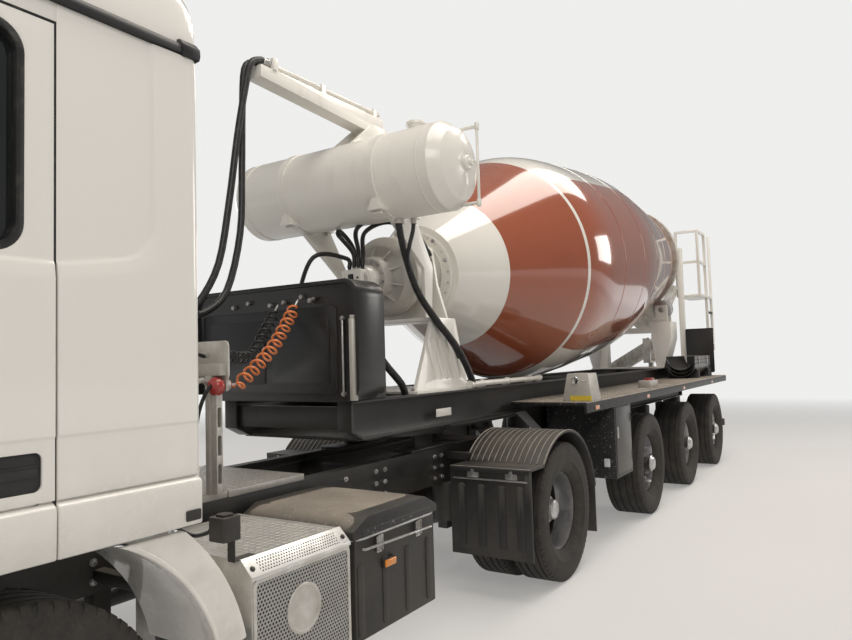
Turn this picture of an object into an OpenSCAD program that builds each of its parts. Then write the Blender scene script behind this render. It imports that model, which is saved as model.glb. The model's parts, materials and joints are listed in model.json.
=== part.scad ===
// Concrete mixer semi-trailer with its two-axle tractor.
// X points forward, Y to the left side, Z up. The origin is on the ground under the middle of the whole
// vehicle.

/* [Layout] */
// Front bumper face to the steered axle
front_overhang = 1440; // [1350:10:1750]
// Steered axle to the driven axle of the tractor
wheelbase = 4000; // [3600:50:4900]
// Kingpin ahead of the driven axle
kingpin_lead = 600; // [500:10:720]
// Kingpin to the first trailer axle
kingpin_to_axle = 3060; // [3000:20:3800]
// Distance between two trailer axles
axle_spacing = 1810; // [1400:10:2200]
// Last trailer axle to the rearmost point, the ladder
rear_overhang = 1800; // [1700:10:2200]
// Width over cab, deck and tyres
body_width = 2500; // [2450:10:2600]

/* [Wheels] */
// Tyre radius of the tractor
tyre_r = 515; // [480:5:535]
// Tyre radius of the trailer
trailer_tyre_r = 525; // [480:5:540]
// Width of a steered tyre
steer_tyre_w = 315; // [260:5:330]
// Width of one twin tyre
twin_tyre_w = 290; // [250:5:315]
// Distance between the middles of a twin pair
twin_pitch = 345; // [320:5:360]
// Width of a trailer tyre
trailer_tyre_w = 385; // [300:5:400]
// Rim flange radius
rim_r = 298; // [270:2:310]
// Bore of each wheel hub
hub_bore_r = 62; // [50:1:70]
// Bore for the front towing pin
tow_bore_r = 20; // [15:1:25]
// Bore for the rear towing pin
rear_tow_r = 25; // [15:1:30]

/* [Cab] */
// Front face of the cab to its rear wall
cab_length = 2020; // [1800:10:2150]
// Height of the cab's lower edge above the front step
cab_front_z = 1000; // [980:5:1020]
// Height of the lower edge of the side sill
sill_z = 1150; // [1130:5:1170]
// Height of the floor plate's underside
floor_z = 1330; // [1320:5:1400]
// Top of the straight side wall
side_top_z = 2780; // [2500:10:2900]
// Top of the roof
roof_z = 3160; // [2900:10:3300]
// Thickness of walls and doors
cab_wall = 50; // [40:2:60]
// Radius of the wheel arch about the steered axle
arch_r = 700; // [690:5:745]
// Width of the white flare round the wheel arch
flare_w = 115; // [60:5:120]
// Length of a door along the cab
door_length = 950; // [850:10:980]
// Lower edge of a door
door_z = 1310; // [1290:5:1330]

/* [Frame] */
// Top of the tractor's side rails
rail_top_z = 1020; // [980:5:1040]
// Height of the side rails
rail_h = 270; // [220:5:300]
// Width over the side rails
rail_span = 860; // [820:10:880]
// Top of the coupling plate
coupling_z = 1190; // [1160:5:1200]
// Top of the trailer's beams
beam_top_z = 1450; // [1430:5:1500]
// Depth of the trailer's beams behind the neck
beam_h = 480; // [400:10:500]
// Depth of the neck over the coupling
neck_h = 250; // [230:5:255]
// Width over the trailer's beams
beam_span = 1120; // [1060:10:1140]
// Top of the trailer's side decks
deck_z = 1300; // [1280:5:1320]
// Third trailer axle to the end of beams and deck
frame_tail = 860; // [800:10:900]

/* [Drum] */
// Kingpin to the drum's front flange
drum_back = 410; // [380:10:500]
// Height of the drum axis at its front flange
drum_z = 2400; // [2390:10:2450]
// Slope of the drum axis in degrees
drum_tilt = 7; // [6.5:0.5:8]
// Largest radius of the drum
drum_r = 1175; // [1050:5:1190]
// Length of the drum along its axis
drum_len = 6650; // [6300:50:6700]
// Radius of the running ring
ring_r = 820; // [760:5:830]
// Radius of the drum's mouth
mouth_r = 600; // [540:5:610]
// Radius of a support roller
roller_r = 140; // [120:5:160]
// Wall thickness of the drum
drum_wall = 8; // [5:1:12]

/* [Water tank] */
// Radius of the water tank
tank_r = 305; // [260:5:320]
// Length of the water tank over its domes
tank_len = 2040; // [1800:20:2200]
// Height of the tank's axis
tank_z = 3000; // [2960:5:3060]
// Tank axis ahead of the kingpin
tank_lead = 410; // [380:5:480]

/* [Chute] */
// Length of the swivelling chute
chute_len = 1180; // [900:10:1220]
// Radius of the chute's trough
chute_r = 215; // [180:5:230]
// Sheet thickness of chute and hopper
sheet_t = 6; // [4:1:10]
// Height of the chute's tilt pivot
chute_z = 1900; // [1850:10:1950]

/* [Hidden] */
$fn = 48;
// Clearance of a shaft in its bore
run_gap = 0.5;
// Clearance between two pieces that rest on each other
seat_gap = 0.3;
// Visible gap round a door or flap
panel_gap = 6;

// Places along the vehicle and half widths
total_len = front_overhang + wheelbase - kingpin_lead + kingpin_to_axle + 2 * axle_spacing + rear_overhang;
x_front = total_len / 2;
x_rear = -total_len / 2;
x_fa = x_front - front_overhang;
x_ra = x_fa - wheelbase;
x_kp = x_ra + kingpin_lead;
function axle_x(i) = x_kp - kingpin_to_axle - i * axle_spacing;
x_tail = axle_x(2) - frame_tail;
half_w = body_width / 2;
rail_z = rail_top_z - rail_h;
rail_y = rail_span / 2;
beam_y = beam_span / 2;
cab_half = half_w - 5;
x_cab = x_fa + front_overhang - 10;
x_cab_rear = x_cab - cab_length;
x_door_rear = x_fa - 80;
x_door_front = x_door_rear + door_length;
tyre_face = half_w - 15;
// Middle of a steered tyre, and the pin that its knuckle turns on
steer_y = 1025;
kingpin_y = 860;
pin_r = 24;
// Share of a tyre's width from its middle to the rim's flange
flange_share = 0.33;
// Colours of paint, rubber, rims and glass
black_steel = [0.07, 0.07, 0.075];
rim_silver = [0.72, 0.72, 0.73];
cab_white = [0.93, 0.92, 0.9];
dark_glass = [0.1, 0.12, 0.14];
// A 2 inch kingpin
kingpin_r = 25.4;

// A block between two corners
module block(a, b) { translate(a) cube([b[0] - a[0], b[1] - a[1], b[2] - a[2]]); }
// The same thing on both sides of the vehicle
module both_sides() {
  children();
  mirror([0, 1, 0]) children();
}
// A side outline drawn in X and Z, spread across Y
module across(y0, y1) { translate([0, y1, 0]) rotate([90, 0, 0]) linear_extrude(y1 - y0) children(); }
// A cross section drawn in Y and Z, spread along X
module along(x0, x1) { translate([x0, 0, 0]) rotate([90, 0, 90]) linear_extrude(x1 - x0) children(); }
// A round bar across the vehicle
module cross_bar(x, z, y0, y1, r) {
  translate([x, y0, z]) rotate([-90, 0, 0]) cylinder(h = y1 - y0, r = r);
}
// A round bar along the vehicle
module long_bar(y, z, x0, x1, r) { translate([x0, y, z]) rotate([0, 90, 0]) cylinder(h = x1 - x0, r = r); }
// A rectangle from corner to corner with round corners
module soft_rect(x0, y0, x1, y1, r) {
  translate([x0 + r, y0]) square([x1 - x0 - 2 * r, y1 - y0]);
  translate([x0, y0 + r]) square([x1 - x0, y1 - y0 - 2 * r]);
  for (x = [x0 + r, x1 - r], y = [y0 + r, y1 - r]) translate([x, y]) circle(r);
}
// A straight round rod between two points
module rod(a, b, r) {
  d = b - a;
  translate(a) rotate([0, acos(d[2] / norm(d)), atan2(d[1], d[0])]) cylinder(h = norm(d), r = r);
}

// Wheels. Each is turned about Y; the outer face looks to +Y.
// Tyre section columns: share of the tyre's height above the rim, share of its half width
TYRE = [[0, 0.62], [0.2, 0.86], [0.5, 1], [0.78, 0.97], [0.93, 0.86], [1, 0.72]];
module tyre(r, w) {
  seat = rim_r - 12;
  up = [for (p = TYRE) [seat + seat_gap + p[0] * (r - seat - seat_gap), p[1] * w / 2]];
  down = [for (i = [len(up) - 1:-1:0]) [up[i][0], -up[i][1]]];
  color([0.06, 0.06, 0.065]) rotate([90, 0, 0]) rotate_extrude($fn = 72) polygon(concat(up, down));
}
// Rim with a dished disc. dish is the depth of the disc behind the outer flange, hub_out and hub_in are the
// hub's outer and inner faces, measured outwards from the middle of the tyre.
module rim(w, dish, hub_out, hub_in) {
  f = w * flange_share;
  face = f - dish;
  color(rim_silver) rotate([-90, 0, 0]) difference() {
    rotate_extrude($fn = 72) polygon([
      [rim_r - 40, -f], [rim_r, -f], [rim_r, -f + 14], [rim_r - 12, -f + 22], [rim_r - 12, f - 22],
      [rim_r, f - 14], [rim_r, f], [rim_r - 14, f], [rim_r - 30, f - 24], [rim_r - 30, face - 4],
      [rim_r - 52, face - 16], [210, face - 6], [190, face], [120, face], [112, hub_out - 18],
      [88, hub_out], [hub_bore_r + 12, hub_out], [hub_bore_r + 12, hub_out - 10],
      [hub_bore_r, hub_out - 10], [hub_bore_r, hub_in], [hub_bore_r + 70, hub_in],
      [hub_bore_r + 70, face - 60], [rim_r - 60, face - 44], [rim_r - 40, face - 34]
    ]);
    for (a = [0:36:359]) rotate([0, 0, a]) translate([226, 0, face - 90])
      cylinder(h = 120, r = 22, $fn = 24);
  }
}
// A wheel on its own, with its tyre and rim
module single_wheel(r, w, dish, hub_in) {
  tyre(r, w);
  rim(w, dish, w * flange_share - dish + 100, hub_in);
}
// Puts a wheel at its axle, with its outer face to its own side
module placed(x, y, z, side) { translate([x, side * y, z]) rotate([0, 0, side > 0 ? 0 : 180]) children(); }

// Outer face of the steering knuckle, and the hub face that runs against it
knuckle_face = kingpin_y + 100;
front_hub_in = knuckle_face + 3 - steer_y;
module wheel_front_left() {
  placed(x_fa, steer_y, tyre_r, 1) single_wheel(tyre_r, steer_tyre_w, 18, front_hub_in);
}
module wheel_front_right() {
  placed(x_fa, steer_y, tyre_r, -1) single_wheel(tyre_r, steer_tyre_w, 18, front_hub_in);
}
// Middle of the outer twin tyre
twin_y = tyre_face - twin_tyre_w / 2;
// Half of a pair of twin rims, from the plane between them outwards
module twin_rim() {
  f = twin_tyre_w * flange_share;
  m = -twin_pitch / 2;
  rotate_extrude($fn = 72) polygon([
    [hub_bore_r, m], [hub_bore_r, -20], [hub_bore_r + 12, -20], [hub_bore_r + 12, -10], [105, -14],
    [118, -40], [124, m + 16], [225, m + 16], [250, m + 50], [258, -60], [rim_r - 34, -50],
    [rim_r - 34, f - 30], [rim_r - 16, f], [rim_r, f], [rim_r, f - 14], [rim_r - 12, f - 22],
    [rim_r - 12, -f + 22], [rim_r, -f + 14], [rim_r, -f], [rim_r - 34, -f], [262, m + 52], [240, m + 6],
    [236, m]
  ]);
}
module twin_wheel() {
  for (y = [0, -twin_pitch]) translate([0, y, 0]) tyre(tyre_r, twin_tyre_w);
  color(rim_silver) rotate([-90, 0, 0]) difference() {
    union() {
      twin_rim();
      translate([0, 0, -twin_pitch]) mirror([0, 0, 1]) twin_rim();
    }
    for (a = [0:36:359]) rotate([0, 0, a]) translate([205, 0, -twin_pitch])
      cylinder(h = twin_pitch, r = 17, $fn = 24);
  }
}
module wheel_rear_left() { placed(x_ra, twin_y, tyre_r, 1) twin_wheel(); }
module wheel_rear_right() { placed(x_ra, twin_y, tyre_r, -1) twin_wheel(); }
// Middle of a trailer tyre
trailer_wheel_y = tyre_face - trailer_tyre_w / 2;
module trailer_wheel(i, side) {
  placed(axle_x(i), trailer_wheel_y, trailer_tyre_r, side)
    single_wheel(trailer_tyre_r, trailer_tyre_w, 60, -100);
}

// Tractor chassis
// Crossmember columns: distance behind the front axle, radius
CROSSMEMBERS = [[-900, 60], [800, 70], [1900, 70], [2900, 70], [4700, 80]];
module tractor_frame() {
  x_end = x_ra - 820;
  color(black_steel) {
    both_sides() difference() {
      block([x_end, rail_y - 80, rail_z], [x_front - 330, rail_y, rail_top_z]);
      block([x_end - 1, rail_y - 81, rail_z + 10], [x_front - 329, rail_y - 10, rail_top_z - 10]);
    }
    for (c = CROSSMEMBERS) cross_bar(x_fa - c[0], rail_z + rail_h / 2, -rail_y + 5, rail_y - 5, c[1]);
    both_sides() {
      difference() {
        union() {
          block([x_front - 350, horn_y, hinge_z - 35], [hinge_x, horn_y + horn_w, hinge_z + 35]);
          block([x_front - 430, horn_y, hinge_z - 35], [x_front - 349, rail_y - 5, hinge_z + 35]);
          cross_bar(hinge_x, hinge_z, horn_y, horn_y + horn_w, 35);
        }
        cross_bar(hinge_x, hinge_z, horn_y - 1, horn_y + horn_w + 1, hinge_pin_r + run_gap);
      }
      block([x_cab_rear + 120, rail_y - 80, rail_top_z], [x_cab_rear + 220, rail_y, floor_z - seat_gap]);
    }
  }
}
// Cab hinge ahead of the side rails: a horn of the frame between two lugs of the cab
hinge_x = x_cab - 100;
hinge_z = 900;
hinge_pin_r = 20;
horn_y = 370;
horn_w = 40;
module engine_block() {
  color([0.3, 0.31, 0.33]) {
    block([x_fa - 620, -rail_y + 90, rail_z - 40], [x_fa + 560, rail_y - 90, floor_z - 60]);
    both_sides() for (x = [-500, 400]) block([x_fa + x, rail_y - 91, rail_top_z - 60],
      [x_fa + x + 120, rail_y - 80, rail_top_z]);
  }
}
module front_axle() {
  beam_z = tyre_r - 30;
  color([0.08, 0.08, 0.085]) {
    difference() {
      union() {
        block([x_fa - 50, -kingpin_y + 60, beam_z - 60], [x_fa + 50, kingpin_y - 60, beam_z + 60]);
        both_sides() translate([x_fa, kingpin_y, beam_z - 60]) cylinder(h = 120, r = 62);
      }
      both_sides() translate([x_fa, kingpin_y, beam_z - 80]) cylinder(h = 160, r = pin_r + run_gap);
      for (s = [-1, 1]) block([x_fa + (s > 0 ? 18 : -51), -kingpin_y + 110, beam_z - 35],
                              [x_fa + (s > 0 ? 51 : -18), kingpin_y - 110, beam_z + 35]);
    }
    both_sides() {
      block([x_fa - 780, rail_y - 75, beam_z + 60], [x_fa + 780, rail_y + 5, beam_z + 115]);
      block([x_fa - 60, rail_y - 80, beam_z + 115], [x_fa + 60, rail_y + 10, beam_z + 160]);
      for (x = [-780, 700]) block([x_fa + x, rail_y - 70, beam_z + 115], [x_fa + x + 80, rail_y, rail_z]);
    }
  }
}
module rear_axle() {
  color([0.08, 0.08, 0.085]) {
    translate([x_ra, 0, tyre_r]) sphere(r = 215);
    cross_bar(x_ra, tyre_r, -tyre_face + 150, tyre_face - 150, hub_bore_r - run_gap);
    cross_bar(x_ra, tyre_r, -twin_y + twin_pitch - 7, twin_y - twin_pitch + 7, 85);
    long_bar(0, tyre_r + 40, x_ra, x_ra + 420, 80);
    both_sides() {
      block([x_ra - 480, rail_y - 60, tyre_r - 110], [x_ra + 480, rail_y + 20, tyre_r - 50]);
      for (x = [-380, 380]) translate([x_ra + x, rail_y - 20, tyre_r - 50])
        cylinder(h = rail_z - tyre_r + 50, r = 125);
    }
    long_bar(0, tyre_r + 60, x_ra + 420, x_fa - 700, 55);
  }
}
module fifth_wheel() {
  color([0.13, 0.13, 0.14]) {
    translate([x_kp, 0, coupling_z - 55]) linear_extrude(55) difference() {
      union() {
        circle(r = 450);
        translate([-330, -330]) square([600, 660]);
      }
      circle(r = kingpin_r + run_gap);
      polygon([[0, -25], [0, 25], [-520, 190], [-520, -190]]);
    }
    both_sides() {
      block([x_kp - 120, 300, rail_top_z], [x_kp + 120, 340, coupling_z - 55]);
      block([x_kp - 300, 240, rail_top_z], [x_kp + 300, rail_y, rail_top_z + 20]);
    }
  }
}
module front_bumper() {
  color([0.9, 0.9, 0.88]) difference() {
    intersection() {
      block([x_fa + 1100, -cab_half, 330], [x_front, cab_half, 850]);
      linear_extrude(900) soft_rect(x_fa, -cab_half, x_front, cab_half, 180);
    }
    block([x_fa + 1000, -cab_half + 120, 320], [x_front - 90, cab_half - 120, 851]);
    both_sides() block([x_front - 60, 760, 560], [x_front + 1, 1130, 760]);
    block([x_front - 91, -420, 430], [x_front + 1, 420, 560]);
  }
  color(black_steel) difference() {
    block([x_front - 190, -50, 570], [x_front - 89, 50, 630]);
    translate([x_front - 145, 0, 569]) cylinder(h = 62, r = tow_bore_r);
  }
  color(black_steel) both_sides() block([x_front - 330, rail_y - 80, 500],
    [x_front - 90, rail_y, rail_top_z - 180]);
}
module silencer_box() {
  y_in = rail_y + 90;
  color([0.5, 0.51, 0.52]) {
    along(x_fa - 1410, x_fa - 835) polygon([
      [y_in, 330], [half_w - 40, 330], [half_w - 20, 350], [half_w - 20, 890], [half_w - 75, 950],
      [y_in, 950]
    ]);
    translate([x_fa - 1380, half_w - 260, 240]) cylinder(h = 95, r = 60);
    block([x_fa - 1300, rail_y, 700], [x_fa - 960, y_in, 780]);
  }
}
module battery_box() {
  color([0.09, 0.09, 0.1]) {
    block([x_fa - 2140, rail_y + 60, 420], [x_fa - 1470, half_w - 40, 880]);
    across(rail_y + 50, half_w - 30) polygon([
      [x_fa - 2160, 880], [x_fa - 1450, 880], [x_fa - 1450, 920], [x_fa - 1560, 975], [x_fa - 2050, 975],
      [x_fa - 2160, 920]
    ]);
    block([x_fa - 1950, rail_y, 700], [x_fa - 1650, rail_y + 60, 780]);
  }
}
module fuel_tank() {
  color([0.75, 0.76, 0.77]) {
    along(x_fa - 2250, x_fa - 900) soft_rect(-half_w + 20, 330, -rail_y - 60, 960, 90);
    for (x = [-2100, -1650, -1150]) {
      block([x_fa + x, -rail_y - 61, 700], [x_fa + x + 60, -rail_y, 780]);
      along(x_fa + x, x_fa + x + 60) soft_rect(-half_w + 14, 324, -rail_y - 54, 966, 96);
    }
    translate([x_fa - 1850, -rail_y - 300, 955]) cylinder(h = 45, r = 55);
  }
}
// Angle at which the white flare ends behind the wheel, measured from straight ahead
flare_end = 167;
// Ring sector drawn in X and Z about a wheel
module arch_sector(r0, r1, a0, a1) {
  steps = 12;
  polygon(concat(
    [for (i = [0:steps]) let(a = a0 + (a1 - a0) * i / steps) r1 * [cos(a), sin(a)]],
    [for (i = [steps:-1:0]) let(a = a0 + (a1 - a0) * i / steps) r0 * [cos(a), sin(a)]]));
}
module front_mudguards() {
  both_sides() {
    color([0.92, 0.91, 0.89]) translate([x_fa, 0, tyre_r]) across(840, cab_half)
      arch_sector(arch_r, arch_r + flare_w, 180 - asin((sill_z - 12 - tyre_r) / (arch_r + flare_w)),
        flare_end);
    color([0.1, 0.1, 0.11]) translate([x_fa, 0, tyre_r]) across(860, cab_half - 15)
      arch_sector(arch_r, arch_r + 20, flare_end, 200);
    color([0.1, 0.1, 0.11]) difference() {
      block([x_fa + arch_r + 10, 840, 340], [x_fa + 1090, cab_half - 10, cab_front_z - 15]);
      for (z = [480, 720]) block([x_fa + arch_r + 60, 1060, z], [x_fa + 1040, cab_half, z + 170]);
    }
    color(black_steel) {
      block([x_fa + 860, rail_y, 800], [x_fa + 920, 840, 860]);
      block([x_fa - 750, rail_y, 800], [x_fa - 700, 900, 850]);
    }
  }
}
module rear_mudguards() {
  y0 = twin_y - twin_pitch - twin_tyre_w / 2 + 10;
  r = tyre_r + 75;
  fender_t = 14;
  fender_front = 42;
  foot_x = x_ra + r * cos(fender_front);
  foot_z = tyre_r + (r + fender_t) * sin(fender_front);
  panel_x = foot_x + 225;
  both_sides() {
    color([0.09, 0.09, 0.1]) {
      translate([x_ra, 0, tyre_r]) across(y0, half_w - 5) arch_sector(r, r + fender_t, fender_front, 172);
      across(y0, half_w - 5) polygon([
        [foot_x, foot_z], [panel_x + fender_t, foot_z], [panel_x + fender_t, 300], [panel_x, 300],
        [panel_x, foot_z - fender_t], [foot_x, foot_z - fender_t]
      ]);
    }
    color([0.05, 0.05, 0.05]) block([x_ra - r - 14, y0, 230], [x_ra - r, half_w - 10, tyre_r + 100]);
    color(black_steel) for (x = [-430, 430])
      block([x_ra + x - 25, rail_y, rail_top_z - 90], [x_ra + x + 25, y0 + 40, rail_top_z - 40]);
  }
}
// Middle of the post that carries the couplings behind the cab
bracket_x = x_fa - 1340;
module coupling_bracket() {
  x = bracket_x;
  color([0.5, 0.51, 0.52]) {
    block([x - 30, 60, rail_top_z + 30], [x + 30, 130, 2060]);
    block([x - 40, 60, 1620], [x - 30, 500, 1810]);
    block([x - 30, 130, 1640], [x + 10, 490, 1700]);
    block([x - 40, -60, 1930], [x - 30, 130, 2060]);
    block([x - 80, -rail_y, rail_top_z], [x + 80, rail_y, rail_top_z + 30]);
    for (y = [220, 330]) translate([x - 70, y, 1740]) rotate([0, 90, 0]) cylinder(h = 30, r = 38);
    for (y = [-20, 40]) translate([x - 90, y, 2000]) rotate([0, 90, 0]) cylinder(h = 50, r = 22);
    translate([x - 70, 450, 1590]) rotate([0, 90, 0]) cylinder(h = 40, r = 32);
    block([x - 40, 410, 1560], [x - 30, 490, 1620]);
  }
  color([0.6, 0.6, 0.6]) block([x - 640, -rail_y, rail_top_z],
    [x - 80 - panel_gap, rail_y, rail_top_z + 30]);
}

// Cab. t is the distance inside its outer faces.
module cab_side(t) {
  polygon([
    [x_cab - t, cab_front_z + t], [x_cab - t, 1800], [x_cab - 150 - t, side_top_z - t / 2],
    [x_cab - 420 - t / 2, roof_z - 60 - t], [x_cab - 560, roof_z - t], [x_cab_rear + 260, roof_z - t],
    [x_cab_rear + t, roof_z - 170], [x_cab_rear + t, sill_z], [x_fa + arch_r - 60, sill_z],
    [x_fa + arch_r + 10, cab_front_z + t]
  ]);
}
module cab_solid(t) {
  intersection() {
    across(-cab_half + t, cab_half - t) cab_side(t);
    linear_extrude(roof_z) soft_rect(x_cab_rear - 300, -cab_half + t, x_cab - t, cab_half - t, 260 - t);
    along(x_cab_rear - 1, x_cab + 1) polygon([
      [-cab_half + t, 900], [cab_half - t, 900], [cab_half - t, side_top_z],
      [cab_half - 210 - t, roof_z - t], [-cab_half + 210 + t, roof_z - t], [-cab_half + t, side_top_z]
    ]);
  }
}
// The cab's closed shell, one wall thick
module cab_walls() {
  difference() {
    cab_solid(0);
    cab_solid(cab_wall);
  }
}
// Outlines of a door and its window; g is the gap that they leave
module door_outline(g) {
  soft_rect(x_door_rear + g, door_z + g, x_door_front - g, side_top_z - 60 - g, 70);
}
module window_outline(g) {
  soft_rect(x_door_rear + 90 + g, 2010 + g, x_door_front - 90 - g, side_top_z - 120 - g, 80 - g);
}
module cab_shell() {
  color(cab_white) {
    difference() {
      cab_walls();
      both_sides() across(cab_half - cab_wall - 1, half_w + 1) door_outline(0);
      block([x_cab - 600, -cab_half + 200, 1850], [x_cab + 50, cab_half - 200, side_top_z - 120]);
      block([x_cab - cab_wall - 1, -cab_half + 300, 1120], [x_cab + 1, cab_half - 300, 1700]);
      translate([x_fa, 0, tyre_r]) cross_bar(0, 0, -half_w, half_w, arch_r);
      block([x_cab_rear, -cab_half + cab_wall, cab_front_z - 1],
        [x_cab - cab_wall, cab_half - cab_wall, floor_z]);
    }
    intersection() {
      cab_solid(cab_wall - 1);
      block([x_cab_rear, -cab_half + cab_wall + panel_gap, floor_z],
        [x_cab, cab_half - cab_wall - panel_gap, floor_z + cab_wall]);
    }
    both_sides() {
      for (y = [horn_y - run_gap - 20, horn_y + horn_w + run_gap]) {
        cross_bar(hinge_x, hinge_z, y, y + 20, 35);
        across(y, y + 20) polygon([
          [hinge_x - 35, hinge_z], [hinge_x + 35, hinge_z], [x_cab - 10, 1010], [x_cab - 10, 1110],
          [x_cab - cab_wall - 20, 1110]
        ]);
      }
      cross_bar(hinge_x, hinge_z, horn_y - 15, horn_y + horn_w + 15, hinge_pin_r);
    }
  }
}
module windscreen() {
  color(dark_glass) intersection() {
    difference() {
      cab_solid(12);
      cab_solid(20);
    }
    block([x_cab - 600, -cab_half + 200 + seat_gap, 1850 + seat_gap],
      [x_cab + 50, cab_half - 200 - seat_gap, side_top_z - 120 - seat_gap]);
  }
}
module cab_interior() {
  z = floor_z + cab_wall;
  color([0.2, 0.2, 0.21]) {
    block([x_cab - 420, -cab_half + cab_wall + 20, z], [x_cab - 200, cab_half - cab_wall - 20, 1780]);
    for (y = [-620, 620]) {
      block([x_cab - 1400, y - 250, z], [x_cab - 880, y + 250, z + 420]);
      block([x_cab - 1460, y - 240, z + 420], [x_cab - 1340, y + 240, z + 1050]);
    }
    rod([x_cab - 420, 620, 1640], [x_cab - 560, 620, 1760], 25);
    translate([x_cab - 560, 620, 1760]) rotate([0, -50, 0]) difference() {
      cylinder(h = 30, r = 220);
      translate([0, 0, -1]) cylinder(h = 32, r = 190);
    }
    translate([x_cab - 560, 620, 1760]) rotate([0, -50, 0]) block([-200, -20, -4], [200, 20, 25]);
  }
}
module front_flap() {
  y = cab_half - 300 - panel_gap;
  color([0.09, 0.09, 0.1]) difference() {
    block([x_cab - cab_wall + 10, -y, 1120 + panel_gap], [x_cab, y, 1700 - panel_gap]);
    for (z = [1180:75:1480]) across(-y + 90, y - 90)
      polygon([[x_cab - 22, z], [x_cab + 1, z - 12], [x_cab + 1, z + 38], [x_cab - 22, z + 26]]);
  }
  color([0.09, 0.09, 0.1]) both_sides() block([x_cab - 20, 500, 1700 - panel_gap - 1],
    [x_cab - 2, 600, 1700 - seat_gap]);
}
module mirrors() {
  color([0.08, 0.08, 0.085]) both_sides() {
    along(x_cab - 330, x_cab - 230) soft_rect(cab_half + 60, 2180, cab_half + 260, 2560, 45);
    along(x_cab - 325, x_cab - 235) soft_rect(cab_half + 60, 2040, cab_half + 260, 2172, 40);
    block([x_cab - 300, cab_half + 120, 2160], [x_cab - 262, cab_half + 180, 2190]);
    for (z = [2100, 2500]) block([x_cab - 300, cab_half, z], [x_cab - 262, cab_half + 61, z + 30]);
  }
}
module door_panel() {
  difference() {
    intersection() {
      cab_walls();
      across(cab_half - cab_wall - 1, half_w + 1) door_outline(panel_gap / 2);
    }
    across(cab_half - cab_wall - 2, half_w + 1) window_outline(0);
  }
  for (z = [1500, 2300]) block([x_door_front - panel_gap / 2 - 1, cab_half - 25, z],
    [x_door_front - seat_gap, cab_half - 2, z + 80]);
}
module door_glass() {
  intersection() {
    across(cab_half - cab_wall + 16, cab_half - cab_wall + 24) window_outline(seat_gap);
    block([x_door_rear, 0, 1900], [x_door_front, half_w, side_top_z]);
  }
}
module door_left() { color(cab_white) door_panel(); }
module door_right() { color(cab_white) mirror([0, 1, 0]) door_panel(); }
module door_glass_left() { color(dark_glass) door_glass(); }
module door_glass_right() { color(dark_glass) mirror([0, 1, 0]) door_glass(); }

// Steering knuckle with its pin, fork and stub axle
module knuckle() {
  beam_z = tyre_r - 30;
  color([0.1, 0.1, 0.11]) translate([x_fa, kingpin_y, 0]) {
    translate([0, 0, beam_z - 120]) cylinder(h = 240, r = pin_r);
    for (z = [beam_z - 120, beam_z + 60 + seat_gap]) translate([0, 0, z])
      cylinder(h = 60 - seat_gap, r = 55);
    block([-45, 64, beam_z - 120], [45, 100, beam_z + 120]);
    for (z = [beam_z - 120, beam_z + 60 + seat_gap]) block([-45, 0, z], [45, 100, z + 60 - seat_gap]);
    translate([0, 0, tyre_r]) cross_bar(0, 0, 90, steer_y - kingpin_y + 150, hub_bore_r - run_gap);
  }
}
module knuckle_left() { knuckle(); }
module knuckle_right() { mirror([0, 1, 0]) knuckle(); }

// Trailer
module trailer_frame() {
  x_nose = x_kp + 1130;
  x_neck = x_kp - 1350;
  color(black_steel) {
    both_sides() difference() {
      across(beam_y - 110, beam_y) polygon([
        [x_nose, beam_top_z], [x_nose, beam_top_z - neck_h + 60], [x_nose - 120, beam_top_z - neck_h],
        [x_neck, beam_top_z - neck_h], [x_neck - 420, beam_top_z - beam_h], [x_tail, beam_top_z - beam_h],
        [x_tail, beam_top_z]
      ]);
      across(beam_y - 48, beam_y + 1) polygon([
        [x_nose - 20, beam_top_z - 16], [x_nose - 20, beam_top_z - neck_h + 70],
        [x_nose - 125, beam_top_z - neck_h + 16], [x_neck + 6, beam_top_z - neck_h + 16],
        [x_neck - 414, beam_top_z - beam_h + 16], [x_tail + 16, beam_top_z - beam_h + 16],
        [x_tail + 16, beam_top_z - 16]
      ]);
      across(beam_y - 111, beam_y - 62) polygon([
        [x_nose - 20, beam_top_z - 16], [x_nose - 20, beam_top_z - neck_h + 70],
        [x_nose - 125, beam_top_z - neck_h + 16], [x_neck + 6, beam_top_z - neck_h + 16],
        [x_neck - 414, beam_top_z - beam_h + 16], [x_tail + 16, beam_top_z - beam_h + 16],
        [x_tail + 16, beam_top_z - 16]
      ]);
      block([x_neck - seat_gap, beam_y - 111, beam_top_z - neck_h - 1],
        [x_neck, beam_y + 1, beam_top_z + 1]);
    }
    block([x_kp - 700, -beam_y + 60, coupling_z + 1], [x_nose - 130, beam_y - 60, beam_top_z - neck_h]);
    block([x_kp - 700, -beam_y + 30, beam_top_z - neck_h],
      [x_nose - 130, beam_y - 30, beam_top_z - neck_h + 12]);
    translate([x_kp, 0, coupling_z - 85]) cylinder(h = 90, r = kingpin_r);
    for (x = [x_nose - 60, x_kp + 300, x_kp - 600, x_neck - 600, axle_x(0) + 900, axle_x(0) - 900,
      axle_x(1) - 900, x_tail + 30])
      block([x - 30, -beam_y + 60, beam_top_z - 180], [x + 30, beam_y - 60, beam_top_z - 40]);
    block([x_tail - 40, -half_w + 60, 500], [x_tail + 60, half_w - 60, 600]);
    both_sides() block([x_tail - 10, beam_y - 110, 590], [x_tail + 40, beam_y - 40,
      beam_top_z - beam_h + 20]);
    block([x_tail, -beam_y + 60, BEARINGS[0]], [x_tail + 20, beam_y - 60, beam_top_z]);
    difference() {
      block([x_tail - 130, -60, 530], [x_tail - 40 - seat_gap, 60, 570]);
      translate([x_tail - 80, 0, 529]) cylinder(h = 42, r = rear_tow_r);
    }
  }
}
// Undersides of the two arms that carry the chute's column
BEARINGS = [1060, 1340];
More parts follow.
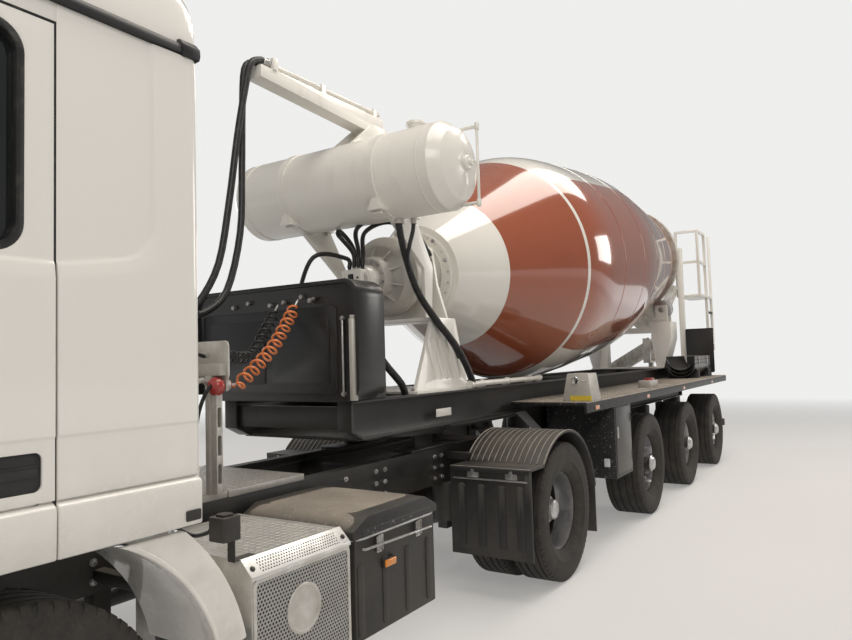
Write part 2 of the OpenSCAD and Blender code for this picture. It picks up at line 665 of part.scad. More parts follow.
// Height and radius of each arm's eye
bearing_h = 60;
bearing_r = 80;
module chute_bearings() {
  color(black_steel) difference() {
    for (z = BEARINGS) {
      translate([chute_x, 0, z]) cylinder(h = bearing_h, r = bearing_r);
      block([chute_x, -bearing_r, z], [x_tail, bearing_r, z + bearing_h]);
    }
    translate([chute_x, 0, BEARINGS[0] - 1]) cylinder(h = BEARINGS[1] - BEARINGS[0] + bearing_h + 2,
      r = column_r + run_gap);
  }
}
module trailer_deck() {
  x_deck = x_kp - 1060;
  both_sides() {
    color([0.12, 0.12, 0.125]) {
      block([x_tail, beam_y, deck_z - 30], [x_deck, half_w, deck_z]);
      block([x_tail, half_w - 25, deck_z - 90], [x_deck, half_w, deck_z - 30]);
      block([x_kp - 2290, beam_y + 20, 560], [x_kp - 1790, half_w - 10, deck_z - 30]);
    }
  }
  color([0.12, 0.12, 0.125]) for (x = [spare_x + 150, spare_x + spare_len - 210]) difference() {
    block([x, spare_y - spare_r - 20, deck_z], [x + 60, spare_y + spare_r + 20, deck_z + 130]);
    long_bar(spare_y, deck_z + spare_r + 20, x - 1, x + 61, spare_r + seat_gap);
  }
}
module trailer_axles() {
  hub = trailer_wheel_y + 140;
  color([0.08, 0.08, 0.085]) for (i = [0:2]) translate([axle_x(i), 0, 0]) {
    cross_bar(0, trailer_tyre_r, -hub, hub, hub_bore_r - run_gap);
    cross_bar(0, trailer_tyre_r, -trailer_wheel_y + 215, trailer_wheel_y - 215, 74);
    both_sides() {
      across(beam_y - 100, beam_y - 20) polygon([
        [480, 760], [430, 640], [60, 440], [-420, 520], [-420, 570], [-60, 600], [380, 760],
        [400, beam_top_z - beam_h], [480, beam_top_z - beam_h]
      ]);
      translate([-350, beam_y - 60, 570]) cylinder(h = beam_top_z - beam_h - 570, r = 130);
    }
  }
}
module landing_legs() {
  x = x_kp - 2400;
  color([0.1, 0.1, 0.11]) {
    both_sides() {
      block([x - 70, beam_y + 10, 700], [x + 70, beam_y + 150, deck_z - 31]);
      block([x - 55, beam_y + 25, 470], [x + 55, beam_y + 135, 700]);
      block([x - 110, beam_y - 10, 450], [x + 110, beam_y + 180, 470]);
      block([x - 70, beam_y - 48, 1050], [x + 70, beam_y + 11, 1250]);
    }
    cross_bar(x, 900, -beam_y - 11, beam_y + 11, 22);
  }
}
module headboard() {
  x = x_kp + 1020;
  color([0.06, 0.06, 0.065]) {
    along(x, x + 200) soft_rect(-700, beam_top_z, 700, 2160, 90);
    along(x - 30, x + 230) difference() {
      soft_rect(-725, beam_top_z, 725, 2185, 110);
      soft_rect(-700, beam_top_z - 60, 700, 2160, 90);
    }
  }
}
// Pedestal: its top, its outer face, the flange's place on the drum's axis and the gearbox's neck in it
ped_top_z = 2000;
ped_y = 530;
mount_s = -190;
neck_r = 270;
module drum_pedestal() {
  z0 = beam_top_z;
  color(cab_white) {
    both_sides() difference() {
      across(ped_y - 30, ped_y) polygon([
        [x_kp + 380, z0], [x_kp - 380, z0], [x_kp - 200, ped_top_z], [x_kp + 120, ped_top_z]
      ]);
      for (i = [0:4]) translate([x_kp + 120 - i * 95, 0, z0 + 90]) rotate([0, 22, 0])
        across(ped_y - 12, ped_y + 1) soft_rect(-22, 0, 22, 330, 20);
    }
    block([x_kp - 200, -ped_y, ped_top_z - 25], [x_kp + 120, ped_y, ped_top_z]);
    block([x_kp - 400, -beam_y, z0], [x_kp + 400, beam_y, z0 + 20]);
    on_drum_axis() translate([0, 0, mount_s]) linear_extrude(30) difference() {
      polygon([[-400, -420], [-400, 420], [-100, 350], [180, 330], [330, 160], [330, -160], [180, -330],
        [-100, -350]]);
      circle(r = neck_r + seat_gap, $fn = 72);
    }
  }
}
// Everything that turns with the drum, drawn along +Z, is laid on the drum's axis
module on_drum_axis() {
  translate([x_kp - drum_back, 0, drum_z]) rotate([0, -90 + drum_tilt, 0]) children();
}
module drum_gearbox() {
  color([0.55, 0.56, 0.57]) on_drum_axis() rotate_extrude($fn = 72) polygon([
    [0, -760], [90, -760], [90, -600], [150, -600], [170, -540], [170, -500], [250, -480], [320, -400],
    [320, -340], [neck_r, -310], [neck_r, -60], [290, -50], [290, -seat_gap], [0, -seat_gap]
  ]);
}
module water_tank() {
  x = x_kp + tank_lead;
  h = tank_len / 2;
  color([0.94, 0.93, 0.9]) {
    translate([x, 0, tank_z]) rotate([90, 0, 0]) rotate_extrude($fn = 72) polygon([
      [0, -h], [tank_r * 0.5, -h + 22], [tank_r * 0.8, -h + 60], [tank_r, -h + 140], [tank_r, h - 140],
      [tank_r * 0.8, h - 60], [tank_r * 0.5, h - 22], [0, h]
    ]);
    both_sides() {
      cross_bar(x, tank_z, 380, 450, tank_r + 8);
      across(400, 430) polygon([
        [x - 200, tank_z - tank_r * 0.6], [x + 150, tank_z - tank_r * 0.8], [x_kp + 60, 2380],
        [x_kp + 60, ped_top_z], [x_kp - 30, ped_top_z], [x_kp - 60, 2400]
      ]);
    }
  }
}
module hose_arm() {
  x = x_kp + tank_lead;
  z = tank_z + tank_r + 8;
  tip = x + 930;
  top = z + 290;
  color([0.94, 0.93, 0.9]) {
    difference() {
      union() {
        across(-60, 60) polygon([[x - 380, z + 40], [x - 380, top], [tip, top], [tip, top - 80],
          [x - 150, z + 150], [x - 250, z + 40]]);
        both_sides() across(59, 90) polygon([[x - 380, z - 120], [x - 380, z + 200], [x - 200, z + 200],
          [x + 60, z - 10], [x - 120, z - 60]]);
      }
      cross_bar(x, tank_z, -100, 100, tank_r + seat_gap, $fn = 72);
    }
    block([tip - 140, -70, top - 1], [tip - 100, 70, top + 75]);
    both_sides() long_bar(30, top + 40, x - 360, tip - 120, 16);
    for (px = [x - 300, x + 300]) block([px, -55, top - 1], [px + 40, 55, top + 62]);
  }
}
// Place of the running ring on the axis, and the angle of each roller below it
ring_s = drum_len - 480;
roller_a = 34;
function drum_x(s) = x_kp - drum_back - s * cos(drum_tilt);
function drum_h(s) = drum_z + s * sin(drum_tilt);
ring_w = 120;
roller_shaft_r = 40;
roller_reach = ring_r + roller_r + seat_gap;
roller_y = roller_reach * sin(roller_a);
roller_drop = roller_reach * cos(roller_a);
module drum_support() {
  x = drum_x(ring_s) - roller_drop * sin(drum_tilt);
  z0 = beam_top_z;
  z1 = drum_h(ring_s) - roller_drop * cos(drum_tilt) - roller_r - 60;
  color(cab_white) {
    both_sides() {
      along(x - 190, x + 190) polygon([
        [beam_y - 110, z0], [beam_y, z0], [roller_y + 150, z1 - 260], [roller_y + 150, z1],
        [roller_y - 150, z1], [roller_y - 150, z1 - 260]
      ]);
      for (o = [-115, 95]) on_drum_axis() translate([0, 0, ring_s + o]) linear_extrude(20) difference() {
        translate([-roller_drop - roller_r - 90, roller_y - 90]) square([roller_r + 90 + 70, 180]);
        translate([-roller_drop, roller_y]) circle(r = roller_shaft_r + run_gap);
      }
    }
    block([x - 190, -roller_y + 100, z1 - 160], [x + 190, roller_y - 100, z1 - 80]);
    block([x - 260, -beam_y, z0], [x + 260, beam_y, z0 + 20]);
  }
}
module support_roller() {
  on_drum_axis() translate([-roller_drop, roller_y, ring_s - 70]) color([0.9, 0.9, 0.88]) {
    cylinder(h = 140, r = roller_r);
    translate([0, 0, -60]) cylinder(h = 260, r = roller_shaft_r);
  }
}
module roller_left() { support_roller(); }
module roller_right() { mirror([0, 1, 0]) support_roller(); }

// Drum profile columns: distance along the axis, radius
DRUM = [[0, 300], [30, 300], [60, 420], [1500, drum_r - 35], [1800, drum_r], [3100, drum_r],
  [3700, drum_r - 50],
        [ring_s - 90, ring_r - 40], [drum_len, mouth_r]];
module drum() {
  color([0.62, 0.24, 0.15]) on_drum_axis() {
    rotate_extrude($fn = 96) polygon(concat(
      [[0, 0]], [for (p = DRUM) [p[1], p[0]]], [for (i = [len(INNER) - 1:-1:0]) [INNER[i][1],
      INNER[i][0]]], [[0, 60 + drum_wall]]));
    rotate_extrude($fn = 96) polygon([
      [drum_inner(ring_s - ring_w / 2) + 3, ring_s - ring_w / 2], [ring_r, ring_s - ring_w / 2],
      [ring_r, ring_s + ring_w / 2], [drum_inner(ring_s + ring_w / 2) + 3, ring_s + ring_w / 2]
    ]);
  }
}
INNER = [for (i = [2:len(DRUM) - 1]) [DRUM[i][0] + (i == 2 ? drum_wall : 0), DRUM[i][1] - drum_wall]];
// Radius of the drum's inner wall at a distance along the axis
function drum_inner(s) = lookup(s, INNER);
// Screw blades: rise for one turn, steps in a turn, height above the wall and thickness
blade_pitch = 1500;
blade_steps = 20;
blade_h = 300;
blade_t = 8;
// One screw blade from s0 to s1 that starts at angle a0
module screw_blade(s0, s1, a0) {
  n = round((s1 - s0) / blade_pitch * blade_steps);
  ring = function (i) let(s = s0 + (s1 - s0) * i / n, a = a0 + 360 * (s - s0) / blade_pitch,
    r1 = drum_inner(s) - 1,
                          r2 = drum_inner(s + blade_t) - 1, d = [cos(a), sin(a)])
    [concat((r1 - blade_h) * d, s), concat(r1 * d, s), concat(r2 * d, s + blade_t),
    concat((r1 - blade_h) * d, s + blade_t)];
  // The two wide faces are split along the same diagonal, so that the sheet keeps its thickness
  split = function (a, b, c, d, k) k < 2 ? [[a, b, d], [b, c, d]] : [[a, b, c], [a, c, d]];
  polyhedron([for (i = [0:n]) each ring(i)],
    concat([[3, 2, 1, 0]], [[4 * n, 4 * n + 1, 4 * n + 2, 4 * n + 3]],
      [for (i = [0:n - 1], k = [0:3]) let(j = (k + 1) % 4) each
        split(4 * i + k, 4 * i + j, 4 * i + 4 + j, 4 * i + 4 + k, k)]));
}
module drum_blades() {
  color([0.45, 0.42, 0.38]) on_drum_axis() for (a = [0, 180]) screw_blade(900, drum_len - 520, a);
}

// The drum's lip and mouth, the chute's column and the posts that the funnels hang on
lip_x = drum_x(drum_len) - mouth_r * sin(drum_tilt);
lip_z = drum_h(drum_len) - mouth_r * cos(drum_tilt);
mouth_x = drum_x(drum_len);
mouth_z = drum_h(drum_len);
chute_x = x_tail - 290;
throat_z = chute_z + 230;
post_x = x_tail + 40;
post_y = 600;
post_w = 80;
// Funnel that catches the concrete from the drum's lip; g is the distance inside its outer faces
module discharge_shape(g, e) {
  intersection() {
    across(-700, 700) polygon([
      [lip_x - 14 - g + (g > 0 ? 2 * g + 2 : 0), lip_z - 80], [chute_x + 175 - g, throat_z - e],
      [chute_x - 175 + g, throat_z - e], [lip_x - 780 + g, lip_z + 180 + e],
      [lip_x - 14 - g + (g > 0 ? 2 * g + 2 : 0), lip_z + 180 + e]
    ]);
    along(chute_x - 900, lip_x + 50) polygon([
      [-180 + g, throat_z - e], [180 - g, throat_z - e], [540 - g, lip_z + 180 + e],
      [-540 + g, lip_z + 180 + e]
    ]);
  }
}
// Inlet funnel: its foot, height and radii, and its spout
hopper_x = lip_x - 420;
hopper_z = mouth_z + 130;
inlet_h = 380;
inlet_r1 = 210;
inlet_r2 = 450;
spout_r = 200;
spout_drop = 32;
// Funnel above the drum's mouth with the spout that leads into it; g grows or shrinks its faces
module inlet_shape(g) {
  e = g < 0 ? 1 : 0;
  translate([hopper_x, 0, hopper_z - e]) cylinder(h = inlet_h + 2 * e, r1 = inlet_r1 + g,
    r2 = inlet_r2 + g);
  translate([hopper_x - 60, 0, hopper_z + 70]) rotate([0, 90 + spout_drop, 0])
    translate([0, 0, g < 0 ? -g : 0]) cylinder(h = 640 + 60 * e, r = spout_r + g);
}
module hopper() {
  color(cab_white) {
    difference() {
      discharge_shape(0, 0);
      discharge_shape(sheet_t, 1);
    }
    difference() {
      inlet_shape(0);
      inlet_shape(-sheet_t);
    }
  }
}
// Posts on the deck with the bars that carry both funnels
module hopper_frame() {
  bar_z = mouth_z + 120;
  color(cab_white) difference() {
    union() {
      both_sides() {
        block([post_x, post_y, deck_z], [post_x + post_w, post_y + post_w, mouth_z + 200]);
        block([post_x, beam_y, deck_z], [post_x + post_w, post_y, deck_z + 80]);
        block([post_x, 380, lip_z + 100], [post_x + post_w, post_y, lip_z + 160]);
      }
      block([post_x, -post_y, bar_z], [post_x + post_w, post_y, bar_z + 80]);
    }
    inlet_shape(seat_gap);
    discharge_shape(-seat_gap, 0);
  }
}
// Floor of the rear platform
platform_z = 2600;
module rear_platform() {
  y0 = 560;
  y1 = 940;
  color(cab_white) {
    for (x = [x_rear, x_rear + 400]) block([x, y1 - 40, 1700], [x + 40, y1, platform_z + 1100]);
    for (z = [1780:280:platform_z - 100]) block([x_rear + 40, y1 - 34, z], [x_rear + 400, y1 - 6, z + 28]);
    block([x_rear, y0, platform_z], [post_x, y1, platform_z + 30]);
    block([post_x - 40, y0, platform_z + 30], [post_x, y0 + 40, platform_z + 1100]);
    block([post_x - 40, y1 - 40, platform_z + 30], [post_x, y1, platform_z + 1100]);
    for (z = [platform_z + 550, platform_z + 1060]) {
      block([x_rear + 400, y1 - 40, z], [post_x, y1, z + 40]);
      block([post_x - 40, y0, z], [post_x, y1, z + 40]);
    }
  }
}
// Spare chutes on the left deck
spare_x = x_tail + 300;
spare_y = 880;
spare_r = 200;
spare_len = 1150;
module spare_chutes() {
  color([0.05, 0.05, 0.055]) for (i = [0:2]) translate([spare_x, spare_y, deck_z + spare_r + 20 + i * 50])
    rotate([90, 0, 90])
    linear_extrude(spare_len) difference() {
      circle(r = spare_r);
      circle(r = spare_r - 6);
      translate([-spare_r - 1, 0]) square([2 * spare_r + 2, spare_r + 1]);
    }
}
// Chute: yoke, column and trunnion, lug and eye of its cylinder, and its slope at rest
yoke_z = chute_z - 380;
column_r = 45;
trunnion_r = 15;
lug_z = 1020;
lug_u = 85;
rest_slope = 30;
eye_d = 850;
eye_drop = 60;
barrel_end = 430;
// Place of a point of the chute, from its distance along and its depth below the pivot, at rest
function chute_u(d, h) = d * cos(rest_slope) - h * sin(rest_slope);
function chute_w(d, h) = -d * sin(rest_slope) - h * cos(rest_slope);
eye_u = chute_u(eye_d, chute_r + eye_drop);
eye_z = chute_z + chute_w(eye_d, chute_r + eye_drop);
stroke = norm([eye_u - lug_u, eye_z - lug_z]);
barrel_angle = atan2(eye_z - lug_z, eye_u - lug_u);
module chute_swivel() {
  color([0.9, 0.9, 0.88]) translate([chute_x, 0, 0]) {
    translate([0, 0, lug_z - 60]) cylinder(h = yoke_z - lug_z + 61, r = column_r);
    difference() {
      union() {
        for (x = [235, -255]) block([x, -60, yoke_z], [x + 20, 60, chute_z + 40]);
        block([-255, -50, yoke_z], [255, 50, yoke_z + 30]);
      }
      rotate([0, 90, 0]) translate([-chute_z, 0, -300]) cylinder(h = 600, r = trunnion_r + run_gap);
    }
    for (x = [-44, 32]) block([x, -lug_u - 25, lug_z - 30], [x + 12, -column_r + 15, lug_z + 30]);
    rotate([0, 90, 0]) translate([-lug_z, -lug_u, -48]) cylinder(h = 96, r = 12);
  }
}
module chute() {
  color([0.9, 0.9, 0.88]) translate([chute_x, 0, chute_z]) {
    rotate([rest_slope, 0, 0]) {
      translate([0, 60, 0]) rotate([90, 0, 0]) linear_extrude(chute_len) difference() {
        circle(r = chute_r);
        circle(r = chute_r - sheet_t);
        translate([-chute_r - 1, 0]) square([2 * chute_r + 2, chute_r + 1]);
      }
      for (x = [-chute_r, chute_r - 12]) block([x, -50, -60], [x + 12, 50, 40]);
      for (x = [-30, 20]) block([x, -eye_d - 25, -chute_r - eye_drop - 20],
        [x + 10, -eye_d + 25, -chute_r + 3]);
      rotate([0, 90, 0]) translate([chute_r + eye_drop, -eye_d, -36]) cylinder(h = 72, r = 8);
    }
    for (x = [chute_r - 8, -257]) rotate([0, 90, 0]) translate([0, 0, x])
      cylinder(h = 257 - chute_r + 8, r = trunnion_r);
  }
}
// The cylinder lies from the column's lug up to the eye under the chute
module on_cylinder() { translate([chute_x, -lug_u, lug_z]) rotate([90 - barrel_angle, 0, 0]) children(); }
module chute_cylinder() {
  color([0.2, 0.2, 0.21]) on_cylinder() difference() {
    union() {
      translate([-18, 0, 0]) rotate([0, 90, 0]) cylinder(h = 36, r = 26);
      translate([0, 0, 15]) cylinder(h = barrel_end - 15, r = 26);
    }
    translate([-20, 0, 0]) rotate([0, 90, 0]) cylinder(h = 40, r = 12 + run_gap);
    translate([0, 0, 26]) cylinder(h = barrel_end, r = 16 + run_gap);
  }
}
module chute_rod() {
  color([0.75, 0.75, 0.76]) on_cylinder() difference() {
    union() {
      translate([0, 0, 104]) cylinder(h = stroke - 124, r = 16);
      translate([-14, 0, stroke]) rotate([0, 90, 0]) cylinder(h = 28, r = 34);
    }
    translate([-20, 0, stroke]) rotate([0, 90, 0]) cylinder(h = 40, r = 22);
  }
}

// Hoses and curly cords. Routes are points on each cord's centre line.
HOSE_A = [[3789.7, -20, 2000], [3750, -20, 2000], [3710, -20, 2000], [3600, -20, 2060], [3460, -10, 2300],
  [3380, 0, 2700],
          [3320, 10, 3100], [3260, 20, 3420], [3220, 30, 3590], [3140, 30, 3643], [3100, 30, 3643],
          [3060.3, 30, 3643]];
HOSE_B = [[3789.7, 40, 2000], [3755, 40, 2000], [3720, 40, 2000], [3620, 36, 1990], [3430, 20, 2130],
  [3300, 0, 2500],
          [3260, -20, 2900], [3240, -30, 3300], [3218, -30, 3570], [3140, -30, 3643], [3100, -30, 3643],
          [3060.3, -30, 3643]];
AIR_COIL = [[3809.7, 450, 1590], [3770, 450, 1590], [3730, 450, 1590], [3450, 390, 1760],
  [3280, 340, 1900], [3085, 270, 2080]];
BLACK_COIL = [[3809.7, 330, 1740], [3770, 330, 1740], [3730, 330, 1740], [3440, 220, 1740],
  [3280, 160, 1860], [3085, 100, 2060]];
// Points of a smooth curve through a route, with n steps between two of its points
function smooth(p, n) = [for (i = [0:len(p) - 2], k = [0:n - 1])
    let(t = k / n, a = p[max(i - 1, 0)], b = p[i], c = p[i + 1], d = p[min(i + 2, len(p) - 1)])
    0.5 * ((2 * b) + (c - a) * t + (2 * a - 5 * b + 4 * c - d) * t * t + (3 * b - a - 3 * c + d) * t * t *
      t), p[len(p) - 1]];
module tube(p, r, sides = 8) {
  n = len(p);
  dir = [for (i = [0:n - 1]) let(d = p[min(i + 1, n - 1)] - p[max(i - 1, 0)]) d / norm(d)];
  pts = [for (i = [0:n - 1]) let(u = cross(dir[i], [0, 1, 0]), v = u / norm(u), w = cross(v, dir[i])) each
      [for (k = [0:sides - 1]) p[i] + r * (cos(360 * k / sides) * v + sin(360 * k / sides) * w)]];
  polyhedron(pts, concat([[for (k = [0:sides - 1]) k]], [[for (k = [sides - 1:-1:0]) (n - 1) * sides + k]],
    [for (i = [0:n - 2], k = [0:sides - 1]) let(j = (k + 1) % sides) each
      [[i * sides + k, (i + 1) * sides + k, (i + 1) * sides + j],
      [i * sides + k, (i + 1) * sides + j, i * sides + j]]]));
}
module hydraulic_hose_left() { color([0.05, 0.05, 0.05]) tube(smooth(HOSE_A, 3), 22); }
module hydraulic_hose_right() { color([0.05, 0.05, 0.05]) tube(smooth(HOSE_B, 3), 22); }
module air_coil() { color([0.85, 0.35, 0.12]) tube(smooth(AIR_COIL, 2), 42); }
module electric_coil() { color([0.06, 0.06, 0.06]) tube(smooth(BLACK_COIL, 2), 38); }

tractor_frame();
engine_block();
front_axle();
rear_axle();
fifth_wheel();
front_bumper();
silencer_box();
battery_box();
fuel_tank();
front_mudguards();
rear_mudguards();
coupling_bracket();
cab_shell();
windscreen();
cab_interior();
front_flap();
mirrors();
door_left();
door_right();
door_glass_left();
door_glass_right();
knuckle_left();
knuckle_right();
wheel_front_left();
wheel_front_right();
wheel_rear_left();
wheel_rear_right();
trailer_wheel(0, 1);  // trailer_wheel_left_1
trailer_wheel(1, 1);  // trailer_wheel_left_2
trailer_wheel(2, 1);  // trailer_wheel_left_3
trailer_wheel(0, -1);  // trailer_wheel_right_1
trailer_wheel(1, -1);  // trailer_wheel_right_2
trailer_wheel(2, -1);  // trailer_wheel_right_3
trailer_frame();
chute_bearings();
trailer_deck();
trailer_axles();
landing_legs();
headboard();
drum_pedestal();
drum_gearbox();
water_tank();
hose_arm();
drum_support();
hopper();
hopper_frame();
rear_platform();
spare_chutes();
drum();
drum_blades();
roller_left();
roller_right();
chute_swivel();
chute();
chute_cylinder();
chute_rod();
hydraulic_hose_left();
hydraulic_hose_right();
air_coil();
electric_coil();
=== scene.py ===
"""Concrete mixer semi-trailer with its two-axle tractor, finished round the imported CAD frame."""
import bmesh
import bpy
import json
from math import asin, cos, degrees, hypot, pi, radians, sin, sqrt
from bpy.props import FloatProperty, FloatVectorProperty, IntProperty, PointerProperty
from mathutils import Matrix, Vector


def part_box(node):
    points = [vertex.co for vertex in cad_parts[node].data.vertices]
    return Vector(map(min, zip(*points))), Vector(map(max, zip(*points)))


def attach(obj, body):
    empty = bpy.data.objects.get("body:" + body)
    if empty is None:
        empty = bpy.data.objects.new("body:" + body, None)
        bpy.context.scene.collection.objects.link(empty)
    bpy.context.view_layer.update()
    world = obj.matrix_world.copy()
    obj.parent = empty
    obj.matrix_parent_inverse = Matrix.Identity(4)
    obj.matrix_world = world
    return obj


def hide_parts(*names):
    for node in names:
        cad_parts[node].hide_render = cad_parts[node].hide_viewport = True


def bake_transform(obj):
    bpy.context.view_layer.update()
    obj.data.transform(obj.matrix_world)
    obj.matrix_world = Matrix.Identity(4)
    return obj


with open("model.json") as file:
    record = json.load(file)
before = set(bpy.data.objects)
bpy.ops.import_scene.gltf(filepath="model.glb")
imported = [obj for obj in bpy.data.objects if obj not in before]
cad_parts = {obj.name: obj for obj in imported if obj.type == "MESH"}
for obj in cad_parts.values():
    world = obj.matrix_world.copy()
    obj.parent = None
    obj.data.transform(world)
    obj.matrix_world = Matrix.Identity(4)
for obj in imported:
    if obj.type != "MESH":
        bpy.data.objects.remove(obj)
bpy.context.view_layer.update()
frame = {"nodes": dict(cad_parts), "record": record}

bl_info = {
    "name": "Concrete mixer truck",
    "version": (1, 0, 0),
    "blender": (4, 5, 0),
    "location": "View3D > Sidebar > Mixer truck",
    "description": "Builds the visible pieces of a concrete mixer semi-trailer and its tractor",
    "category": "Add Mesh",
}

RECORD = frame["record"]
JOINTS = {j["name"]: j for j in RECORD["behaviour"]["joints"]}


def joint_place(name):
    return Vector(JOINTS[name]["pos_m"])


# The frame's own places, in metres. X is forward, Y is left, Z is up.
STEER_X, STEER_Z = joint_place("wheel_front_left_spin").x, joint_place("wheel_front_left_spin").z
DRIVE_X = joint_place("wheel_rear_left_spin").x
DRUM_FOOT = joint_place("drum_spin")
DRUM_AXIS = Vector(JOINTS["drum_spin"]["axis"]).normalized()
DRUM_TILT = asin(DRUM_AXIS.z)
CAB_LO, CAB_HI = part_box("cab_shell")
BUMPER_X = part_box("front_bumper")[1].x
DECK_LO, CHOCK_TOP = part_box("trailer_deck")
# The chocks on the deck stand this far above its sheet
CHOCK_RISE = 0.13
DECK_TOP = CHOCK_TOP.z - CHOCK_RISE
UP = Vector((0, 0, 1))
SIDES = ((1, "left"), (-1, "right"))


def drum_point(along, radius=0.0, turn=0.0):
    """A point by its distance along the drum's axis, its radius and its degrees from the crest."""
    side = Vector((0, 1, 0))
    crest = DRUM_AXIS.cross(side).normalized()
    if crest.z < 0:
        crest = -crest
    a = radians(turn)
    return DRUM_FOOT + DRUM_AXIS * along + (crest * cos(a) + side * sin(a)) * radius


# Shader maths

def arithmetic(operation, swapped=False):
    """A method of Port that adds one Math node; swapped puts the port behind the other value."""
    def method(port, *others):
        terms = (*others, port) if swapped else (port, *others)
        inputs = {str(i): term for i, term in enumerate(terms)}
        return port.finish.node("ShaderNodeMath", {"operation": operation}, **inputs)
    return method


class Port:
    """One socket of a material's tree. Arithmetic on it adds Math nodes."""

    __add__ = __radd__ = arithmetic("ADD")
    __mul__ = __rmul__ = arithmetic("MULTIPLY")
    __sub__ = arithmetic("SUBTRACT")
    __rsub__ = arithmetic("SUBTRACT", swapped=True)
    __truediv__ = arithmetic("DIVIDE")
    __mod__ = arithmetic("FLOORED_MODULO")
    __gt__ = arithmetic("GREATER_THAN")
    __lt__ = arithmetic("LESS_THAN")
    __abs__ = arithmetic("ABSOLUTE")
    max = arithmetic("MAXIMUM")
    sine = arithmetic("SINE")

    def __init__(self, finish, socket):
        self.finish, self.socket = finish, socket

    def clamped(self):
        return self.finish.node("ShaderNodeClamp", Value=self)

    def ramp(self, low, high, out_low=0.0, out_high=1.0):
        """Straight ramp between two values, held beyond them."""
        return self.finish.node("ShaderNodeMapRange", Value=self, From_Min=low, From_Max=high,
                                To_Min=out_low, To_Max=out_high)

    def soft(self, low, high):
        """Ramp from 0 to 1 with rounded ends."""
        return self.finish.node("ShaderNodeMapRange", {"interpolation_type": "SMOOTHSTEP"}, Value=self,
                                From_Min=low, From_Max=high)

    def parts(self):
        split = self.finish.tree.nodes.new("ShaderNodeSeparateXYZ")
        self.finish.tree.links.new(self.socket, split.inputs[0])
        return [Port(self.finish, s) for s in split.outputs]


class Finish:
    """A material under construction."""

    def __init__(self, name):
        self.material = bpy.data.materials.new(name)
        self.material.use_nodes = True
        self.tree = self.material.node_tree
        self.tree.nodes.clear()

    def node(self, kind, settings=None, out=0, **sockets):
        """Adds a node from its type, its settings and its sockets' values or links, and gives one output."""
        node = self.tree.nodes.new(kind)
        for key, value in (settings or {}).items():
            setattr(node, key, value)
        for key, value in sockets.items():
            socket = node.inputs[int(key) if key.isdigit() else key.replace("_", " ")]
            if isinstance(value, Port):
                self.tree.links.new(value.socket, socket)
            elif socket.type == "RGBA" and len(value) == 3:
                socket.default_value = (*value, 1.0)
            else:
                socket.default_value = value
        return Port(self, node.outputs[out])

    def place(self, location=(0, 0, 0), rotation=(0, 0, 0), scale=(1, 1, 1), kind="POINT"):
        """Object coordinates, moved, turned or scaled for a pattern."""
        plain = self.node("ShaderNodeTexCoord", out=3)
        return self.node("ShaderNodeMapping", {"vector_type": kind}, Vector=plain, Location=location,
                         Rotation=rotation, Scale=scale)

    def facing(self):
        """Direction the surface looks in, in the object's own frame."""
        return self.node("ShaderNodeTexCoord", out=1).parts()

    def noise(self, scale, detail=3.0, rough=0.55, stretch=(1, 1, 1)):
        where = self.place(scale=stretch)
        return self.node("ShaderNodeTexNoise", Vector=where, Scale=scale, Detail=detail, Roughness=rough)

    def cells(self, scale):
        return self.node("ShaderNodeTexVoronoi", Vector=self.place(), Scale=scale)

    def mix(self, amount, a, b):
        """Colour a goes over to colour b as amount goes from 0 to 1."""
        node = self.tree.nodes.new("ShaderNodeMix")
        node.data_type = "RGBA"
        for index, value in ((0, amount), (6, a), (7, b)):
            socket = node.inputs[index]
            if isinstance(value, Port):
                self.tree.links.new(value.socket, socket)
            else:
                socket.default_value = value if index == 0 or len(value) == 4 else (*value, 1.0)
        return Port(self, node.outputs[2])

    def bump(self, height, strength=0.3, distance=0.01):
        return self.node("ShaderNodeBump", Height=height, Strength=strength, Distance=distance)

    def surface(self, colour, rough, **sockets):
        """The Principled surface and the output, from its socket values or links."""
        shader = self.node("ShaderNodeBsdfPrincipled", Base_Color=colour, Roughness=rough, **sockets)
        output = self.tree.nodes.new("ShaderNodeOutputMaterial")
        self.tree.links.new(shader.socket, output.inputs["Surface"])
        return self.material


MATERIALS = {}


def registered(build):
    """Registers a function that builds the material of its own name."""
    MATERIALS[build.__name__] = build
    return build


MADE = {}


def material(name):
    """The finish of that name, made once."""
    if name not in MADE:
        MADE[name] = MATERIALS[name](Finish("mixer_" + name))
    return MADE[name]


def grime(f, low=0.2, high=1.6):
    """Road dirt, strongest near the ground and on faces that look up. 0 is clean and 1 is dirty."""
    height = f.place().parts()[2].ramp(low, high, 1.0, 0.0)
    patches = f.noise(2.3, 6.0, 0.65).ramp(0.35, 0.72)
    fine = f.noise(38.0, 3.0, 0.7).ramp(0.3, 0.75)
    flat = f.facing()[2].ramp(0.3, 0.95)
    return ((height * 0.6 + flat * 0.55) * (patches * 0.75 + fine * 0.35)).clamped()


def drips(f, scale=9.0, amount=0.5):
    """Faint runs down an upright face."""
    streak = f.noise(scale, 4.0, 0.6, stretch=(1, 1, 0.08)).ramp(0.52, 0.75)
    upright = abs(f.facing()[2]).ramp(0.35, 0.8, 1.0, 0.0)
    return streak * upright * amount


@registered
def cab_white(f):
    dirt = f.place().parts()[2].ramp(0.95, 1.55, 0.55, 0.0) * f.noise(5.0, 6.0, 0.65).ramp(0.35, 0.75)
    base = f.mix(dirt, tuple(settings().cab_colour), (0.42, 0.39, 0.34))
    peel = f.noise(260.0, 1.0, 0.4)
    return f.surface(base, dirt * 0.45 + 0.22, Coat_Weight=0.8, Coat_Roughness=0.04,
                     Normal=f.bump(peel, 0.02, 0.001))


